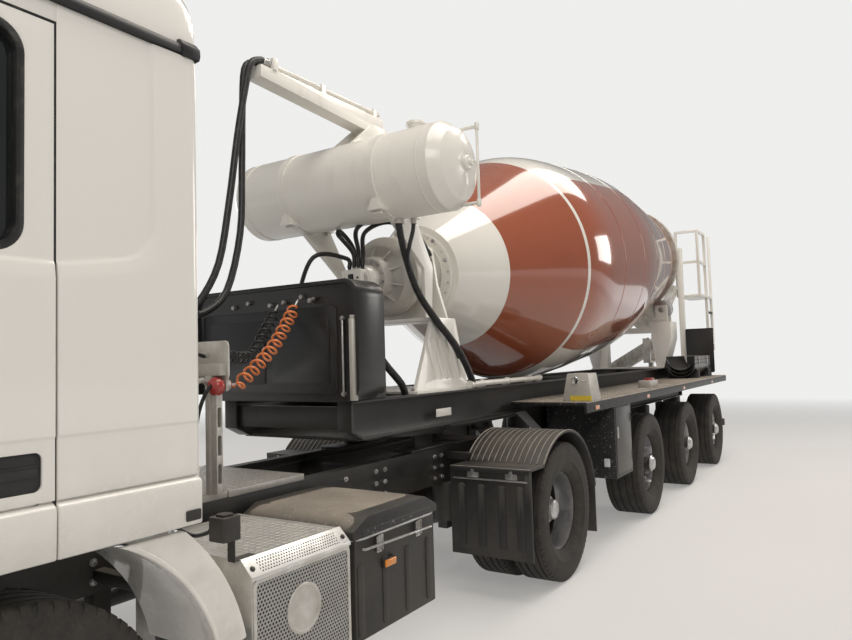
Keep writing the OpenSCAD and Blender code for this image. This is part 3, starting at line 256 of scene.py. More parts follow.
@registered
def machine_white(f):
    dirt = (grime(f, 1.2, 2.6) * 0.35 + drips(f, 7.0, 0.3)).clamped()
    splash = f.cells(26.0).ramp(0.08, 0.2, 1.0, 0.0) * f.noise(1.7, 3.0).ramp(0.56, 0.66)
    base = f.mix(dirt, tuple(settings().machine_colour), (0.5, 0.46, 0.4))
    base = f.mix(splash * 0.5, base, (0.55, 0.53, 0.5))
    return f.surface(base, dirt * 0.4 + 0.3, Coat_Weight=0.3, Coat_Roughness=0.1,
                     Normal=f.bump(f.noise(120.0, 2.0) + splash * 2.0, 0.05, 0.002))


@registered
def drum_paint(f):
    up, side, along = f.place(location=tuple(DRUM_FOOT), rotation=(0, DRUM_TILT - pi / 2, 0),
                              kind="TEXTURE").parts()
    turn = f.node("ShaderNodeMath", {"operation": "ARCTAN2"}, **{"0": side, "1": up}) * (180 / pi)
    red, white = tuple(settings().drum_colour), tuple(settings().machine_colour)
    copper = (0.3, 0.135, 0.085)
    cloud = f.noise(3.0, 4.0, 0.6).ramp(0.3, 0.7)
    base = f.mix(cloud * 0.35, red, tuple(c * 0.72 for c in red))
    rear = along.soft(3.3, 3.6)
    base = f.mix(rear * 0.75, base, copper)
    # White marks, by their distance along the axis and their angle from the crest in degrees
    head = along < 0.52
    ring = (along > 1.345) * (along < 1.38)
    tail_ring = ((along > 4.2) * (along < 4.22)).max((along > 4.6) * (along < 4.615))
    barrel = (along > 1.36) * (along < 4.2)
    crest = (turn < 46.0) * (turn > -38.0) * barrel
    low = (turn > 138.0 + (along - 1.36) * 2.0).max(turn < -130.0) * barrel
    marks = head.max(ring).max(tail_ring).max(crest).max(low)
    base = f.mix(marks, base, white)
    dust = f.facing()[2].ramp(0.55, 1.0) * f.noise(4.0, 6.0, 0.7).ramp(0.4, 0.8) * 0.25
    spill = along.ramp(5.6, 6.4) * f.noise(6.0, 6.0, 0.7).ramp(0.45, 0.62)
    base = f.mix((dust + spill * 0.7).clamped(), base, (0.48, 0.44, 0.39))
    rough = (dust + spill).clamped() * 0.5 + 0.14
    weld = f.noise(60.0, 2.0) * 0.1
    for seam in (1.5, 2.9, 4.6):
        weld = weld + abs(along - seam).ramp(0.0, 0.012, 1.0, 0.0)
    return f.surface(base, rough, Coat_Weight=1.0, Coat_Roughness=0.05,
                     Normal=f.bump(weld, 0.07, 0.003))


@registered
def black_frame(f):
    dirt = grime(f, 0.2, 2.0)
    base = f.mix(dirt * 0.6, (0.01, 0.01, 0.011), (0.17, 0.15, 0.12))
    return f.surface(base, dirt * 0.35 + 0.38, Coat_Weight=0.15, Coat_Roughness=0.2,
                     Normal=f.bump(f.noise(150.0, 3.0), 0.12, 0.002))


@registered
def deck_top(f):
    dust = f.facing()[2].ramp(0.4, 0.95) * f.noise(3.0, 8.0, 0.7).ramp(0.25, 0.7, 0.45, 1.0)
    base = f.mix(dust, (0.014, 0.014, 0.015), (0.3, 0.26, 0.21))
    base = f.mix(f.noise(55.0, 4.0).ramp(0.6, 0.7) * 0.4, base, (0.46, 0.43, 0.39))
    return f.surface(base, dust * 0.4 + 0.42, Normal=f.bump(f.noise(90.0, 4.0), 0.2, 0.003))


@registered
def black_plastic(f):
    dirt = grime(f, 0.1, 1.8)
    grain = f.cells(420.0)
    base = f.mix(dirt * 0.55, (0.013, 0.013, 0.014), (0.2, 0.17, 0.13))
    return f.surface(base, dirt * 0.3 + 0.48, Normal=f.bump(grain, 0.12, 0.0012))


@registered
def black_gloss(f):
    dirt = grime(f, 0.9, 1.9) * 0.5
    base = f.mix(dirt, (0.006, 0.006, 0.007), (0.16, 0.145, 0.12))
    return f.surface(base, dirt * 0.4 + 0.34, Coat_Weight=0.25, Coat_Roughness=0.15,
                     Normal=f.bump(f.noise(30.0, 2.0), 0.04, 0.004))


@registered
def tyre_rubber(f):
    dust = f.noise(9.0, 6.0, 0.7).ramp(0.35, 0.75) * 0.6 + f.noise(70.0, 3.0).ramp(0.45, 0.8) * 0.3
    base = f.mix(dust * 0.6, (0.014, 0.0135, 0.013), (0.12, 0.1, 0.08))
    return f.surface(base, dust * 0.15 + 0.72, Normal=f.bump(f.noise(300.0, 3.0), 0.2, 0.0015))


@registered
def rim_silver(f):
    dirt = f.noise(12.0, 6.0, 0.7).ramp(0.4, 0.8) * 0.55
    base = f.mix(dirt, (0.62, 0.62, 0.63), (0.17, 0.14, 0.11))
    return f.surface(base, dirt * 0.4 + 0.28, Metallic=dirt * -0.7 + 0.85,
                     Normal=f.bump(f.noise(180.0, 2.0), 0.05, 0.001))


@registered
def bare_steel(f):
    worn = f.noise(14.0, 5.0, 0.65).ramp(0.4, 0.75)
    base = f.mix(worn, (0.5, 0.5, 0.5), (0.3, 0.27, 0.24))
    return f.surface(base, worn * 0.3 + 0.3, Metallic=0.85,
                     Normal=f.bump(f.noise(200.0, 2.0), 0.08, 0.001))


@registered
def tread_alloy(f):
    dirt = f.noise(8.0, 7.0, 0.7).ramp(0.35, 0.75)
    base = f.mix(dirt * 0.7, (0.66, 0.65, 0.62), (0.32, 0.28, 0.23))
    return f.surface(base, dirt * 0.3 + 0.33, Metallic=dirt * -0.5 + 0.8,
                     Normal=f.bump(f.noise(260.0, 2.0), 0.08, 0.001))


@registered
def grey_metal(f):
    dirt = (grime(f, 0.6, 3.0) + f.noise(10.0, 5.0, 0.7).ramp(0.5, 0.8) * 0.5).clamped()
    base = f.mix(dirt * 0.6, tuple(settings().gear_colour), (0.12, 0.105, 0.09))
    return f.surface(base, dirt * 0.25 + 0.4, Metallic=0.25,
                     Normal=f.bump(f.noise(75.0, 4.0), 0.18, 0.002))


# Distance between rows of staggered holes, as a share of their pitch
ROW_SHARE = 0.866


def holes(across, up, pitch=0.0165, share=0.3):
    """Staggered rows of round holes: 1 inside a hole and 0 on the sheet."""
    row = up / (pitch * ROW_SHARE)
    u = (across / pitch + ((row % 2.0) > 1.0) * 0.5) % 1.0 - 0.5
    v = (row % 1.0 - 0.5) * ROW_SHARE
    return (u * u + v * v).ramp(share * share * 0.8, share * share * 1.2, 1.0, 0.0)


def pierced(f, hole, tint=(0.6, 0.6, 0.6)):
    """Bright sheet whose holes are painted near-black, as painted shade of the dark behind them."""
    dirt = f.noise(8.0, 6.0, 0.7).ramp(0.4, 0.8)
    # The holes' near-black colour is painted shade.
    base = f.mix(hole, f.mix(dirt * 0.5, tint, (0.33, 0.3, 0.26)), (0.012, 0.012, 0.012))
    return f.surface(base, dirt * 0.25 + hole * 0.3 + 0.36, Metallic=hole * -0.75 + 0.75,
                     Normal=f.bump(hole * -1.0, 0.6, 0.002))


@registered
def perforated(f):
    across, _, up = f.place().parts()
    return pierced(f, holes(across, up), (0.42, 0.415, 0.4))


@registered
def perforated_slope(f):
    across, _, up = f.place().parts()
    inside = (up > 0.902) * (up < 0.943) * (across > 3.87) * (across < 4.33)
    return pierced(f, holes(across, up * 1.41, 0.0145, 0.26) * inside, (0.78, 0.77, 0.75))


@registered
def fender_dust(f):
    dust = f.facing()[2].ramp(0.05, 0.7) * f.noise(6.0, 6.0, 0.7).ramp(0.3, 0.7, 0.55, 1.0)
    base = f.mix(dust, (0.02, 0.02, 0.021), (0.36, 0.33, 0.28))
    return f.surface(base, dust * 0.3 + 0.45, Normal=f.bump(f.noise(200.0, 3.0), 0.1, 0.001))


@registered
def splashed_white(f):
    crust = f.noise(5.0, 8.0, 0.7).ramp(0.46, 0.6)
    runs = drips(f, 11.0, 0.8)
    stain = (crust * 0.8 + runs).clamped()
    base = f.mix(stain, tuple(settings().machine_colour), (0.44, 0.41, 0.37))
    return f.surface(base, stain * 0.45 + 0.32,
                     Normal=f.bump(crust * 0.6 + f.noise(45.0, 5.0) * 0.4, 0.4, 0.006))


@registered
def window_glass(f):
    smear = f.noise(6.0, 4.0, 0.6).ramp(0.45, 0.9)
    # Near-black, nearly opaque glass: its dark colour is painted shade of the cab's dim inside. The smears
    # are dirt.
    base = f.mix(smear * 0.3, (0.008, 0.01, 0.011), (0.05, 0.05, 0.048))
    return f.surface(base, smear * 0.08 + 0.03, Alpha=0.86, Coat_Weight=1.0, Coat_Roughness=0.02)


@registered
def cab_trim(f):
    cloth = f.cells(220.0)
    base = f.mix(f.noise(20.0, 3.0), (0.05, 0.05, 0.053), (0.09, 0.088, 0.085))
    return f.surface(base, f.noise(12.0).ramp(0.3, 0.7, 0.65, 0.8), Normal=f.bump(cloth, 0.2, 0.002))


@registered
def hose_rubber(f):
    dust = f.noise(30.0, 4.0, 0.7).ramp(0.5, 0.8)
    base = f.mix(dust * 0.4, (0.012, 0.012, 0.012), (0.13, 0.12, 0.1))
    return f.surface(base, dust * 0.2 + 0.42, Normal=f.bump(f.noise(400.0, 2.0), 0.1, 0.001))


@registered
def orange_coil(f):
    dust = f.noise(40.0, 4.0, 0.7).ramp(0.5, 0.85)
    base = f.mix(dust * 0.4, tuple(settings().coil_colour), (0.25, 0.13, 0.08))
    return f.surface(base, dust * 0.2 + 0.3, Coat_Weight=0.2)


@registered
def chrome_rod(f):
    haze = f.noise(20.0, 3.0).ramp(0.4, 0.8)
    return f.surface((0.72, 0.72, 0.73), haze * 0.12 + 0.08, Metallic=1.0)


def lens(name, colour):
    """A lamp glass with a fine pattern of ribs."""
    def build(f):
        _, across, up = f.place().parts()
        ribs = (across * 900.0).sine() + (up * 900.0).sine()
        base = f.mix(f.noise(60.0).ramp(0.4, 0.7), colour, tuple(c * 0.75 for c in colour))
        return f.surface(base, f.noise(30.0).ramp(0.3, 0.8, 0.08, 0.2), Coat_Weight=0.8,
                         Normal=f.bump(ribs, 0.15, 0.001))
    MATERIALS[name] = build


lens("amber_lens", (0.75, 0.24, 0.02))
lens("red_lens", (0.5, 0.02, 0.015))
lens("clear_lens", (0.75, 0.76, 0.78))
lens("yellow_mark", (0.75, 0.55, 0.06))
lens("red_part", (0.42, 0.035, 0.03))


@registered
def worn_steel(f):
    crust = f.noise(9.0, 8.0, 0.7).ramp(0.42, 0.6)
    base = f.mix(crust, (0.33, 0.27, 0.22), (0.46, 0.44, 0.41))
    return f.surface(base, crust * 0.25 + 0.6, Metallic=0.15,
                     Normal=f.bump(f.noise(30.0, 6.0), 0.4, 0.006))


# Shapes

class Shape:
    """Closed bodies gathered in one mesh, and made into one piece by done()."""

    def __init__(self):
        self.bm = bmesh.new()

    def faces(self, rings, caps=True):
        """Skin over rings of points of the same length; without caps the last ring joins the first."""
        rows = [[self.bm.verts.new(p) for p in ring] for ring in rings]
        count = len(rows[0])
        for a, b in zip(rows, rows[1:] + ([rows[0]] if not caps else [])):
            for i in range(count):
                j = (i + 1) % count
                self.bm.faces.new((a[i], a[j], b[j], b[i]))
        if caps:
            self.bm.faces.new(rows[0])
            self.bm.faces.new(rows[-1][::-1])

    def box(self, lo, hi):
        lo, hi = Vector(lo), Vector(hi)
        ring = [(lo.x, lo.y), (hi.x, lo.y), (hi.x, hi.y), (lo.x, hi.y)]
        self.faces([[(x, y, z) for x, y in ring] for z in (lo.z, hi.z)])

    def prism(self, outline, lo, hi, axis="y"):
        """A flat outline spread along one axis; its numbers are the other two coordinates in order."""
        def at(p, d):
            return {"x": (d, p[0], p[1]), "y": (p[0], d, p[1]), "z": (p[0], p[1], d)}[axis]
        self.faces([[at(p, d) for p in outline] for d in (lo, hi)])

    def lathe(self, profile, foot, axis, steps=48):
        """Turned body: (radius, distance along the axis) round a closed section, or from pole to pole."""
        foot, axis = Vector(foot), Vector(axis).normalized()
        side = axis.orthogonal().normalized()
        third = axis.cross(side)
        turns = [2 * pi * k / steps for k in range(steps)]
        dirs = [side * cos(a) + third * sin(a) for a in turns]
        rows = []
        for r, d in profile:
            centre = foot + axis * d
            if r < 1e-6:
                rows.append([self.bm.verts.new(centre)])
            else:
                rows.append([self.bm.verts.new(centre + n * r) for n in dirs])
        open_ends = len(rows[0]) == 1 and len(rows[-1]) == 1
        for a, b in zip(rows, rows[1:] if open_ends else rows[1:] + rows[:1]):
            for i in range(steps):
                j = (i + 1) % steps
                ring = [a[i % len(a)], a[j % len(a)], b[j % len(b)], b[i % len(b)]]
                self.bm.faces.new(list(dict.fromkeys(ring)))

    def rod(self, a, b, radius, steps=16):
        """A straight round bar."""
        a, b = Vector(a), Vector(b)
        length = (b - a).length
        self.lathe([(0, 0), (radius, 0), (radius, length), (0, length)], a, b - a, steps)

    def tube(self, path, radius, sides=10, closed=False):
        """A round bar along a path of points."""
        rings = []
        for p, _, normal, other in travel(path):
            turns = [2 * pi * k / sides for k in range(sides)]
            rings.append([p + (normal * cos(a) + other * sin(a)) * radius for a in turns])
        self.faces(rings, caps=not closed)

    def add(self, mesh, matrix=None):
        """Joins an existing mesh into this one."""
        before = len(self.bm.verts)
        self.bm.from_mesh(mesh)
        if matrix is not None:
            self.bm.verts.ensure_lookup_table()
            bmesh.ops.transform(self.bm, matrix=matrix, verts=self.bm.verts[before:])

    def mirrored(self):
        """Adds the same shapes on the other side of the vehicle."""
        whole = self.bm.verts[:] + self.bm.edges[:] + self.bm.faces[:]
        twin = bmesh.ops.duplicate(self.bm, geom=whole)["geom"]
        verts = [g for g in twin if isinstance(g, bmesh.types.BMVert)]
        bmesh.ops.scale(self.bm, vec=(1, -1, 1), verts=verts)

    def mesh(self, name):
        bmesh.ops.recalc_face_normals(self.bm, faces=self.bm.faces)
        data = bpy.data.meshes.new(name)
        self.bm.to_mesh(data)
        self.bm.free()
        return data

    def done(self, name, body, finish, bevel=0.0, angle=32, replaces=(), segments=2, slot=None):
        return piece(self.mesh(name), name, body, finish, bevel, angle, replaces, segments, slot)


def plate(outline, lo, hi, axis="y"):
    """A new shape that holds one flat outline spread along an axis."""
    s = Shape()
    s.prism(outline, lo, hi, axis)
    return s


def travel(path):
    """Each point of a path with its direction and two directions square to it that turn least."""
    path = [Vector(p) for p in path]
    normal = None
    for i, p in enumerate(path):
        tangent = (path[min(i + 1, len(path) - 1)] - path[max(i - 1, 0)]).normalized()
        if normal is None:
            normal = tangent.orthogonal().normalized()
        normal = (normal - tangent * normal.dot(tangent)).normalized()
        yield p, tangent, normal, tangent.cross(normal)


# Slot of the record that each finish stands for
SLOTS = {
    "cab_white": "cab_paint", "machine_white": "white_paint", "splashed_white": "white_paint",
    "drum_paint": "drum_paint", "black_frame": "black_frame", "deck_top": "black_frame",
    "black_plastic": "black_plastic", "fender_dust": "black_plastic", "black_gloss": "black_gloss",
    "tyre_rubber": "tyre", "rim_silver": "rim_silver", "bare_steel": "worn_steel",
    "worn_steel": "worn_steel", "tread_alloy": "alu", "perforated": "alu", "perforated_slope": "alu",
    "grey_metal": "grey_metal", "window_glass": "window", "cab_trim": "trim_grey",
    "hose_rubber": "hose_rubber", "orange_coil": "orange_coil", "chrome_rod": "chrome_rod",
    "amber_lens": "cab_paint", "red_lens": "cab_paint", "clear_lens": "cab_paint",
    "red_part": "orange_coil", "yellow_mark": "orange_coil",
}


def piece(mesh, name, body, finish, bevel=0.0, angle=32, replaces=(), segments=2, slot=None):
    """Makes the object of a mesh on its body, its edges softened. The slot is not used."""
    obj = linked(name, mesh)
    if bevel:
        soften = obj.modifiers.new("soften", "BEVEL")
        soften.width, soften.segments, soften.limit_method = bevel, segments, "ANGLE"
        soften.angle_limit = radians(angle)
        mesh = baked(obj)
        obj.modifiers.clear()
        obj.data = mesh
    mesh.materials.clear()
    mesh.materials.append(material(finish))
    mesh.polygons.foreach_set("use_smooth", [True] * len(mesh.polygons))
    mesh.polygons.foreach_set("material_index", [0] * len(mesh.polygons))
    mesh.set_sharp_from_angle(angle=radians(angle))
    mesh.update()
    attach(obj, body)
    slot or SLOTS[finish]
    if replaces:
        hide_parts(*replaces)
    return obj


def linked(name, data):
    """A new object in the scene."""
    obj = bpy.data.objects.new(name, data)
    bpy.context.scene.collection.objects.link(obj)
    return obj


def baked(obj):
    """The evaluated object as a plain mesh."""
    graph = bpy.context.evaluated_depsgraph_get()
    graph.update()
    return bpy.data.meshes.new_from_object(obj.evaluated_get(graph), preserve_all_data_layers=False,
                                           depsgraph=graph)


# Corners closer than this are one corner, and faces that differ by less than this are one face
SAME_PLACE = 1e-5
FLAT_ANGLE = radians(0.6)


def merged(node):
    """A copy of a CAD node's mesh, its triangles joined."""
    bm = bmesh.new()
    bm.from_mesh(frame["nodes"][node].data)
    bmesh.ops.remove_doubles(bm, verts=bm.verts, dist=SAME_PLACE)
    bmesh.ops.dissolve_degenerate(bm, edges=bm.edges, dist=SAME_PLACE)
    return bm


def islands(bm):
    """Separate bodies of a mesh, as lists of faces."""
    left, found = set(bm.faces), []
    while left:
        stack, group = [left.pop()], []
        while stack:
            face = stack.pop()
            group.append(face)
            for edge in face.edges:
                for other in edge.link_faces:
                    if other in left:
                        left.discard(other)
                        stack.append(other)
        found.append(group)
    return found


def flat_mesh(bm, name):
    """The mesh of a body whose flat faces are joined first."""
    bmesh.ops.dissolve_limit(bm, angle_limit=FLAT_ANGLE, verts=bm.verts, edges=bm.edges)
    data = bpy.data.meshes.new(name)
    bm.to_mesh(data)
    bm.free()
    return data


def refined(node, finish, bevel=0.003, angle=32, slot=None):
    """A CAD node in its own shape with softened edges and smooth curves."""
    name = node + "_skin"
    return piece(flat_mesh(merged(node), name), name, BODY_OF[node], finish, bevel, angle,
                 (node,), slot=slot)


BODY_OF = {n: b for b, members in RECORD["behaviour"]["bodies"].items() for n in members}


def settings():
    return bpy.context.scene.mixer_truck


# Geometry trees

class Tree:
    """A geometry tree with named inputs that ends in Realize Instances and Set Material."""

    def __init__(self, name, inputs):
        self.tree = bpy.data.node_groups.new(name, "GeometryNodeTree")
        self.tree.interface.new_socket("Geometry", in_out="INPUT", socket_type="NodeSocketGeometry")
        for label, kind in [("Item", "Object")] + inputs + [("Finish", "Material")]:
            self.tree.interface.new_socket(label, in_out="INPUT", socket_type="NodeSocket" + kind)
        self.tree.interface.new_socket("Geometry", in_out="OUTPUT", socket_type="NodeSocketGeometry")
        self.given = self.tree.nodes.new("NodeGroupInput").outputs

    def add(self, kind, out=0, settings=None, **links):
        node = self.tree.nodes.new(kind)
        for key, value in (settings or {}).items():
            setattr(node, key, value)
        for key, value in links.items():
            socket = node.inputs[key.replace("_", " ")]
            if isinstance(value, bpy.types.NodeSocket):
                self.tree.links.new(value, socket)
            else:
                socket.default_value = value
        return node.outputs[out]

    def end(self, points, rotation=None):
        item = self.add("GeometryNodeObjectInfo", out="Geometry", Object=self.given["Item"])
        links = {"Points": points, "Instance": item}
        if rotation is not None:
            links["Rotation"] = rotation
        placed = self.add("GeometryNodeInstanceOnPoints", **links)
        real = self.add("GeometryNodeRealizeInstances", Geometry=placed)
        painted = self.add("GeometryNodeSetMaterial", Geometry=real, Material=self.given["Finish"])
        leave = self.tree.nodes.new("NodeGroupOutput")
        self.tree.links.new(painted, leave.inputs["Geometry"])
        return self.tree


def ring_tree():
    """Pieces round a circle about Z; an item's X looks outwards."""
    t = Tree("Ring of pieces", [("Count", "Int"), ("Radius", "Float")])
    circle = t.add("GeometryNodeMeshCircle", Vertices=t.given["Count"], Radius=t.given["Radius"])
    outwards = t.add("FunctionNodeAlignRotationToVector", settings={"axis": "X", "pivot_axis": "Z"},
                     Vector=t.add("GeometryNodeInputPosition"))
    return t.end(circle, outwards)


def grid_tree():
    """Pieces in rows and columns on the XY plane."""
    t = Tree("Rows of pieces", [("Columns", "Int"), ("Rows", "Int"), ("Width", "Float"), ("Depth", "Float")])
    grid = t.add("GeometryNodeMeshGrid", **{"Size_X": t.given["Width"], "Size_Y": t.given["Depth"],
                                            "Vertices_X": t.given["Columns"], "Vertices_Y": t.given["Rows"]})
    return t.end(grid)


def path_tree():
    """Pieces at even steps along a path; an item's Z looks along it."""
    t = Tree("Pieces along a path", [("Step", "Float")])
    line = t.add("GeometryNodeMeshToCurve", Mesh=t.given["Geometry"])
    even = t.add("GeometryNodeResampleCurve", settings={"mode": "LENGTH"}, Curve=line,
                 Length=t.given["Step"])
    along = t.add("FunctionNodeAlignRotationToVector", settings={"axis": "Z"},
                  Vector=t.add("GeometryNodeInputTangent"))
    return t.end(even, along)


def repeated(tree, item, finish, matrix=None, path=None, **sizes):
    """Mesh of an item repeated by a tree, in its place."""
    item_mesh = item.mesh("item") if isinstance(item, Shape) else item
    small = linked("item", item_mesh)
    carrier_mesh = bpy.data.meshes.new("carrier")
    if path:
        carrier_mesh.from_pydata([tuple(p) for p in path], [(i, i + 1) for i in range(len(path) - 1)], [])
    carrier = linked("carrier", carrier_mesh)
    group = bpy.data.node_groups.get(tree) or TREES[tree]()
    layer = carrier.modifiers.new("repeat", "NODES")
    layer.node_group = group
    wanted = {"Item": small, "Finish": material(finish), **sizes}
    for socket in group.interface.items_tree:
        if socket.item_type == "SOCKET" and socket.in_out == "INPUT" and socket.name in wanted:
            layer[socket.identifier] = wanted[socket.name]
    result = baked(carrier)
    carrier.modifiers.clear()
    for obj in (small, carrier):
        bpy.data.objects.remove(obj)
    if matrix is not None:
        result.transform(matrix)
    return result


TREES = {"Ring of pieces": ring_tree, "Rows of pieces": grid_tree, "Pieces along a path": path_tree}


def facing(centre, z_axis, x_axis=None):
    """Matrix that lays an item's Z along z_axis at a centre."""
    z = Vector(z_axis).normalized()
    x = Vector(x_axis) if x_axis else z.orthogonal()
    x = (x - z * x.dot(z)).normalized()
    turn = Matrix((x, z.cross(x), z)).transposed()
    return Matrix.Translation(Vector(centre)) @ turn.to_4x4()


def nut(radius=0.016, height=0.014, stud=0.01):
    """Six-sided nut on a washer with the end of its stud, standing along Z."""
    s = Shape()
    s.lathe([(0, 0), (radius * 1.25, 0), (radius * 1.25, height * 0.15), (0, height * 0.15)],
            (0, 0, 0), UP, 14)
    s.lathe([(0, height * 0.1), (radius, height * 0.1), (radius, height * 0.9), (radius * 0.8, height),
             (0, height)], (0, 0, 0), UP, 6)
    if stud:
        s.lathe([(0, height), (radius * 0.5, height), (radius * 0.45, height + stud), (0, height + stud)],
                (0, 0, 0), UP, 10)
    return s


def nuts(places, z_axis, name, body, finish="bare_steel", size=(0.014, 0.012, 0.006)):
    """Bolts at a list of places that all look the same way."""
    s = Shape()
    mesh = nut(*size).mesh("nut")
    for place in places:
        s.add(mesh, facing(place, z_axis))
    s.done(name, body, finish)


# Sizes that a user would change

def paint(name, description, default):
    """A colour that a user can change."""
    return FloatVectorProperty(name=name, description=description, subtype="COLOR", size=3, min=0, max=1,
                               default=default)


class MixerTruckSettings(bpy.types.PropertyGroup):
    """Colours and sizes of the finished truck"""
    cab_colour: paint("Cab paint", "Colour of the cab", (0.8, 0.775, 0.725))
    machine_colour: paint("Machine paint", "Colour of the tank, stands and funnels", (0.76, 0.735, 0.68))
    drum_colour: paint("Drum paint", "Colour of the drum between its white marks", (0.33, 0.085, 0.038))
    gear_colour: paint("Gearbox paint", "Colour of the gearbox and its bracket", (0.5, 0.48, 0.44))
    coil_colour: paint("Air coil", "Colour of the curly air line", (0.72, 0.2, 0.05))
    tread_blocks: IntProperty(name="Tread blocks", description="Blocks round each shoulder of a tyre",
                              default=64, min=24, max=96)
    coil_pitch: FloatProperty(name="Coil pitch", description="Distance between two turns of a curly line",
                              default=0.07, min=0.03, max=0.08, unit="LENGTH", subtype="DISTANCE")
    coil_wire: FloatProperty(name="Coil wire", description="Thickness of a curly line's tube", default=0.014,
                             min=0.008, max=0.02, unit="LENGTH", subtype="DISTANCE")


# Camera, floor and light

# Camera fitted to the photograph: place, turns in degrees and focal length
CAMERA_PLACE = (6.224, 3.22, 1.69)
CAMERA_YAW, CAMERA_PITCH, CAMERA_ROLL = 32.712, 3.279, -1.697
CAMERA_LENS = 29.08


class MIXER_OT_stage(bpy.types.Operator):
    """Makes the camera, the pale floor and the soft light"""
    bl_idname = "mixer.stage"
    bl_label = "Stage"

    def execute(self, context):
        self.camera(context)
        self.floor()
        self.lights()
        self.world(context)
        return {"FINISHED"}

    def camera(self, context):
        yaw, pitch, roll = (radians(a) for a in (CAMERA_YAW, CAMERA_PITCH, CAMERA_ROLL))
        ahead = Vector((-cos(yaw) * cos(pitch), -sin(yaw) * cos(pitch), sin(pitch)))
        level = ahead.cross(UP).normalized()
        top = level.cross(ahead)
        right = level * cos(roll) + top * sin(roll)
        top = right.cross(ahead)
        data = bpy.data.cameras.new("camera")
        data.lens, data.sensor_width, data.clip_start, data.clip_end = CAMERA_LENS, 36, 0.05, 200
        camera = linked("camera", data)
        turn = Matrix((right, top, -ahead)).transposed().to_4x4()
        camera.matrix_world = Matrix.Translation(CAMERA_PLACE) @ turn
        context.scene.camera = camera

    def floor(self):
        mesh = bpy.data.meshes.new("floor")
        reach = 70
        mesh.from_pydata([(-reach, -reach, 0), (reach, -reach, 0), (reach, reach, 0), (-reach, reach, 0)],
                         [], [(0, 1, 2, 3)])
        floor = linked("floor", mesh)
        f = Finish("floor")
        grain = f.noise(0.6, 4.0)
        x, y, _ = f.place().parts()
        far = (x * x + y * y).ramp(60.0, 420.0)
        glow = f.mix(far, (0.26, 0.256, 0.25), (0.86, 0.86, 0.85))
        base = f.mix(far, f.mix(grain, (0.46, 0.45, 0.435), (0.5, 0.49, 0.475)), (0.0, 0.0, 0.0))
        mesh.materials.append(f.surface(base, 0.9, Specular_IOR_Level=0.0, Emission_Color=glow,
                                        Emission_Strength=1.0))

    def lights(self):
        # Columns: name, place, target, width, depth, power in watts, colour
        lamps = [
            ("roof_light", (-1, 2.2, 8.5), (-1, 1.0, 0), 13, 3.2, 620, (1.0, 0.94, 0.86)),
            ("near_light", (9.5, 6.0, 6.5), (2.5, 0, 1.5), 4, 3, 250, (1.0, 0.96, 0.91)),
            ("far_light", (-9.0, 8.0, 5.0), (-3.0, 0, 1.6), 5, 3, 260, (1.0, 0.96, 0.91)),
            ("right_light", (0, -10.0, 5.0), (0, 0, 1.5), 10, 4, 260, (0.95, 0.97, 1.0)),
        ]
        for name, place, target, width, depth, power, colour in lamps:
            data = bpy.data.lights.new(name, "AREA")
            data.shape, data.size, data.size_y = "RECTANGLE", width, depth
            data.energy, data.color = power, colour
            light = linked(name, data)
            light.location = place
            light.rotation_euler = (Vector(target) - Vector(place)).to_track_quat("-Z", "Y").to_euler()

    def world(self, context):
        context.scene.view_settings.view_transform = "Standard"
        world = bpy.data.worlds.new("pale_room")
        world.use_nodes = True
        context.scene.world = world
        nodes, links = world.node_tree.nodes, world.node_tree.links
        nodes.clear()
        rays = nodes.new("ShaderNodeLightPath")
        seen = nodes.new("ShaderNodeMath")
        seen.operation = "MAXIMUM"
        links.new(rays.outputs["Is Camera Ray"], seen.inputs[0])
        links.new(rays.outputs["Is Transmission Ray"], seen.inputs[1])
        pick, leave = nodes.new("ShaderNodeMixShader"), nodes.new("ShaderNodeOutputWorld")
        links.new(seen.outputs[0], pick.inputs[0])
        # The room lights the truck, and the pale wall is what the camera sees
        for index, colour, strength in ((1, (0.84, 0.83, 0.82, 1), 0.3), (2, (0.86, 0.86, 0.85, 1), 1.0)):
            glow = nodes.new("ShaderNodeBackground")
            glow.inputs["Color"].default_value = colour
            glow.inputs["Strength"].default_value = strength
            links.new(glow.outputs[0], pick.inputs[index])
        links.new(pick.outputs[0], leave.inputs[0])


# Hoses and curly lines

# Routes from the CAD source, in metres
HOSE_A = [(3.7897, -0.02, 2.0), (3.75, -0.02, 2.0), (3.71, -0.02, 2.0), (3.6, -0.02, 2.06),
          (3.46, -0.01, 2.3), (3.38, 0, 2.7), (3.32, 0.01, 3.1), (3.26, 0.02, 3.42), (3.22, 0.03, 3.59),
          (3.14, 0.03, 3.643), (3.1, 0.03, 3.643), (3.0603, 0.03, 3.643)]
HOSE_B = [(3.7897, 0.04, 2.0), (3.755, 0.04, 2.0), (3.72, 0.04, 2.0), (3.62, 0.036, 1.99),
          (3.43, 0.02, 2.13), (3.3, 0, 2.5), (3.26, -0.02, 2.9), (3.24, -0.03, 3.3), (3.218, -0.03, 3.57),
          (3.14, -0.03, 3.643), (3.1, -0.03, 3.643), (3.0603, -0.03, 3.643)]
AIR_COIL = [(3.8097, 0.45, 1.59), (3.77, 0.45, 1.59), (3.73, 0.45, 1.59), (3.45, 0.39, 1.76),
            (3.28, 0.34, 1.9), (3.085, 0.27, 2.08)]
BLACK_COIL = [(3.8097, 0.33, 1.74), (3.77, 0.33, 1.74), (3.73, 0.33, 1.74), (3.44, 0.22, 1.74),
              (3.28, 0.16, 1.86), (3.085, 0.1, 2.06)]
HOSE_RADIUS = 0.0215
COIL_STEPS = 14


def smooth(points, steps):
    """Points of a smooth curve through a route."""
    p = [Vector(q) for q in points]
    path = []
    for i in range(len(p) - 1):
        a, b, c, d = p[max(i - 1, 0)], p[i], p[i + 1], p[min(i + 2, len(p) - 1)]
        for k in range(steps):
            t = k / steps
            path.append(0.5 * (2 * b + (c - a) * t + (2 * a - 5 * b + 4 * c - d) * t ** 2
                               + (3 * b - a - 3 * c + d) * t ** 3))
    return path + [p[-1]]


def length_of(path):
    return sum((b - a).length for a, b in zip(path, path[1:]))


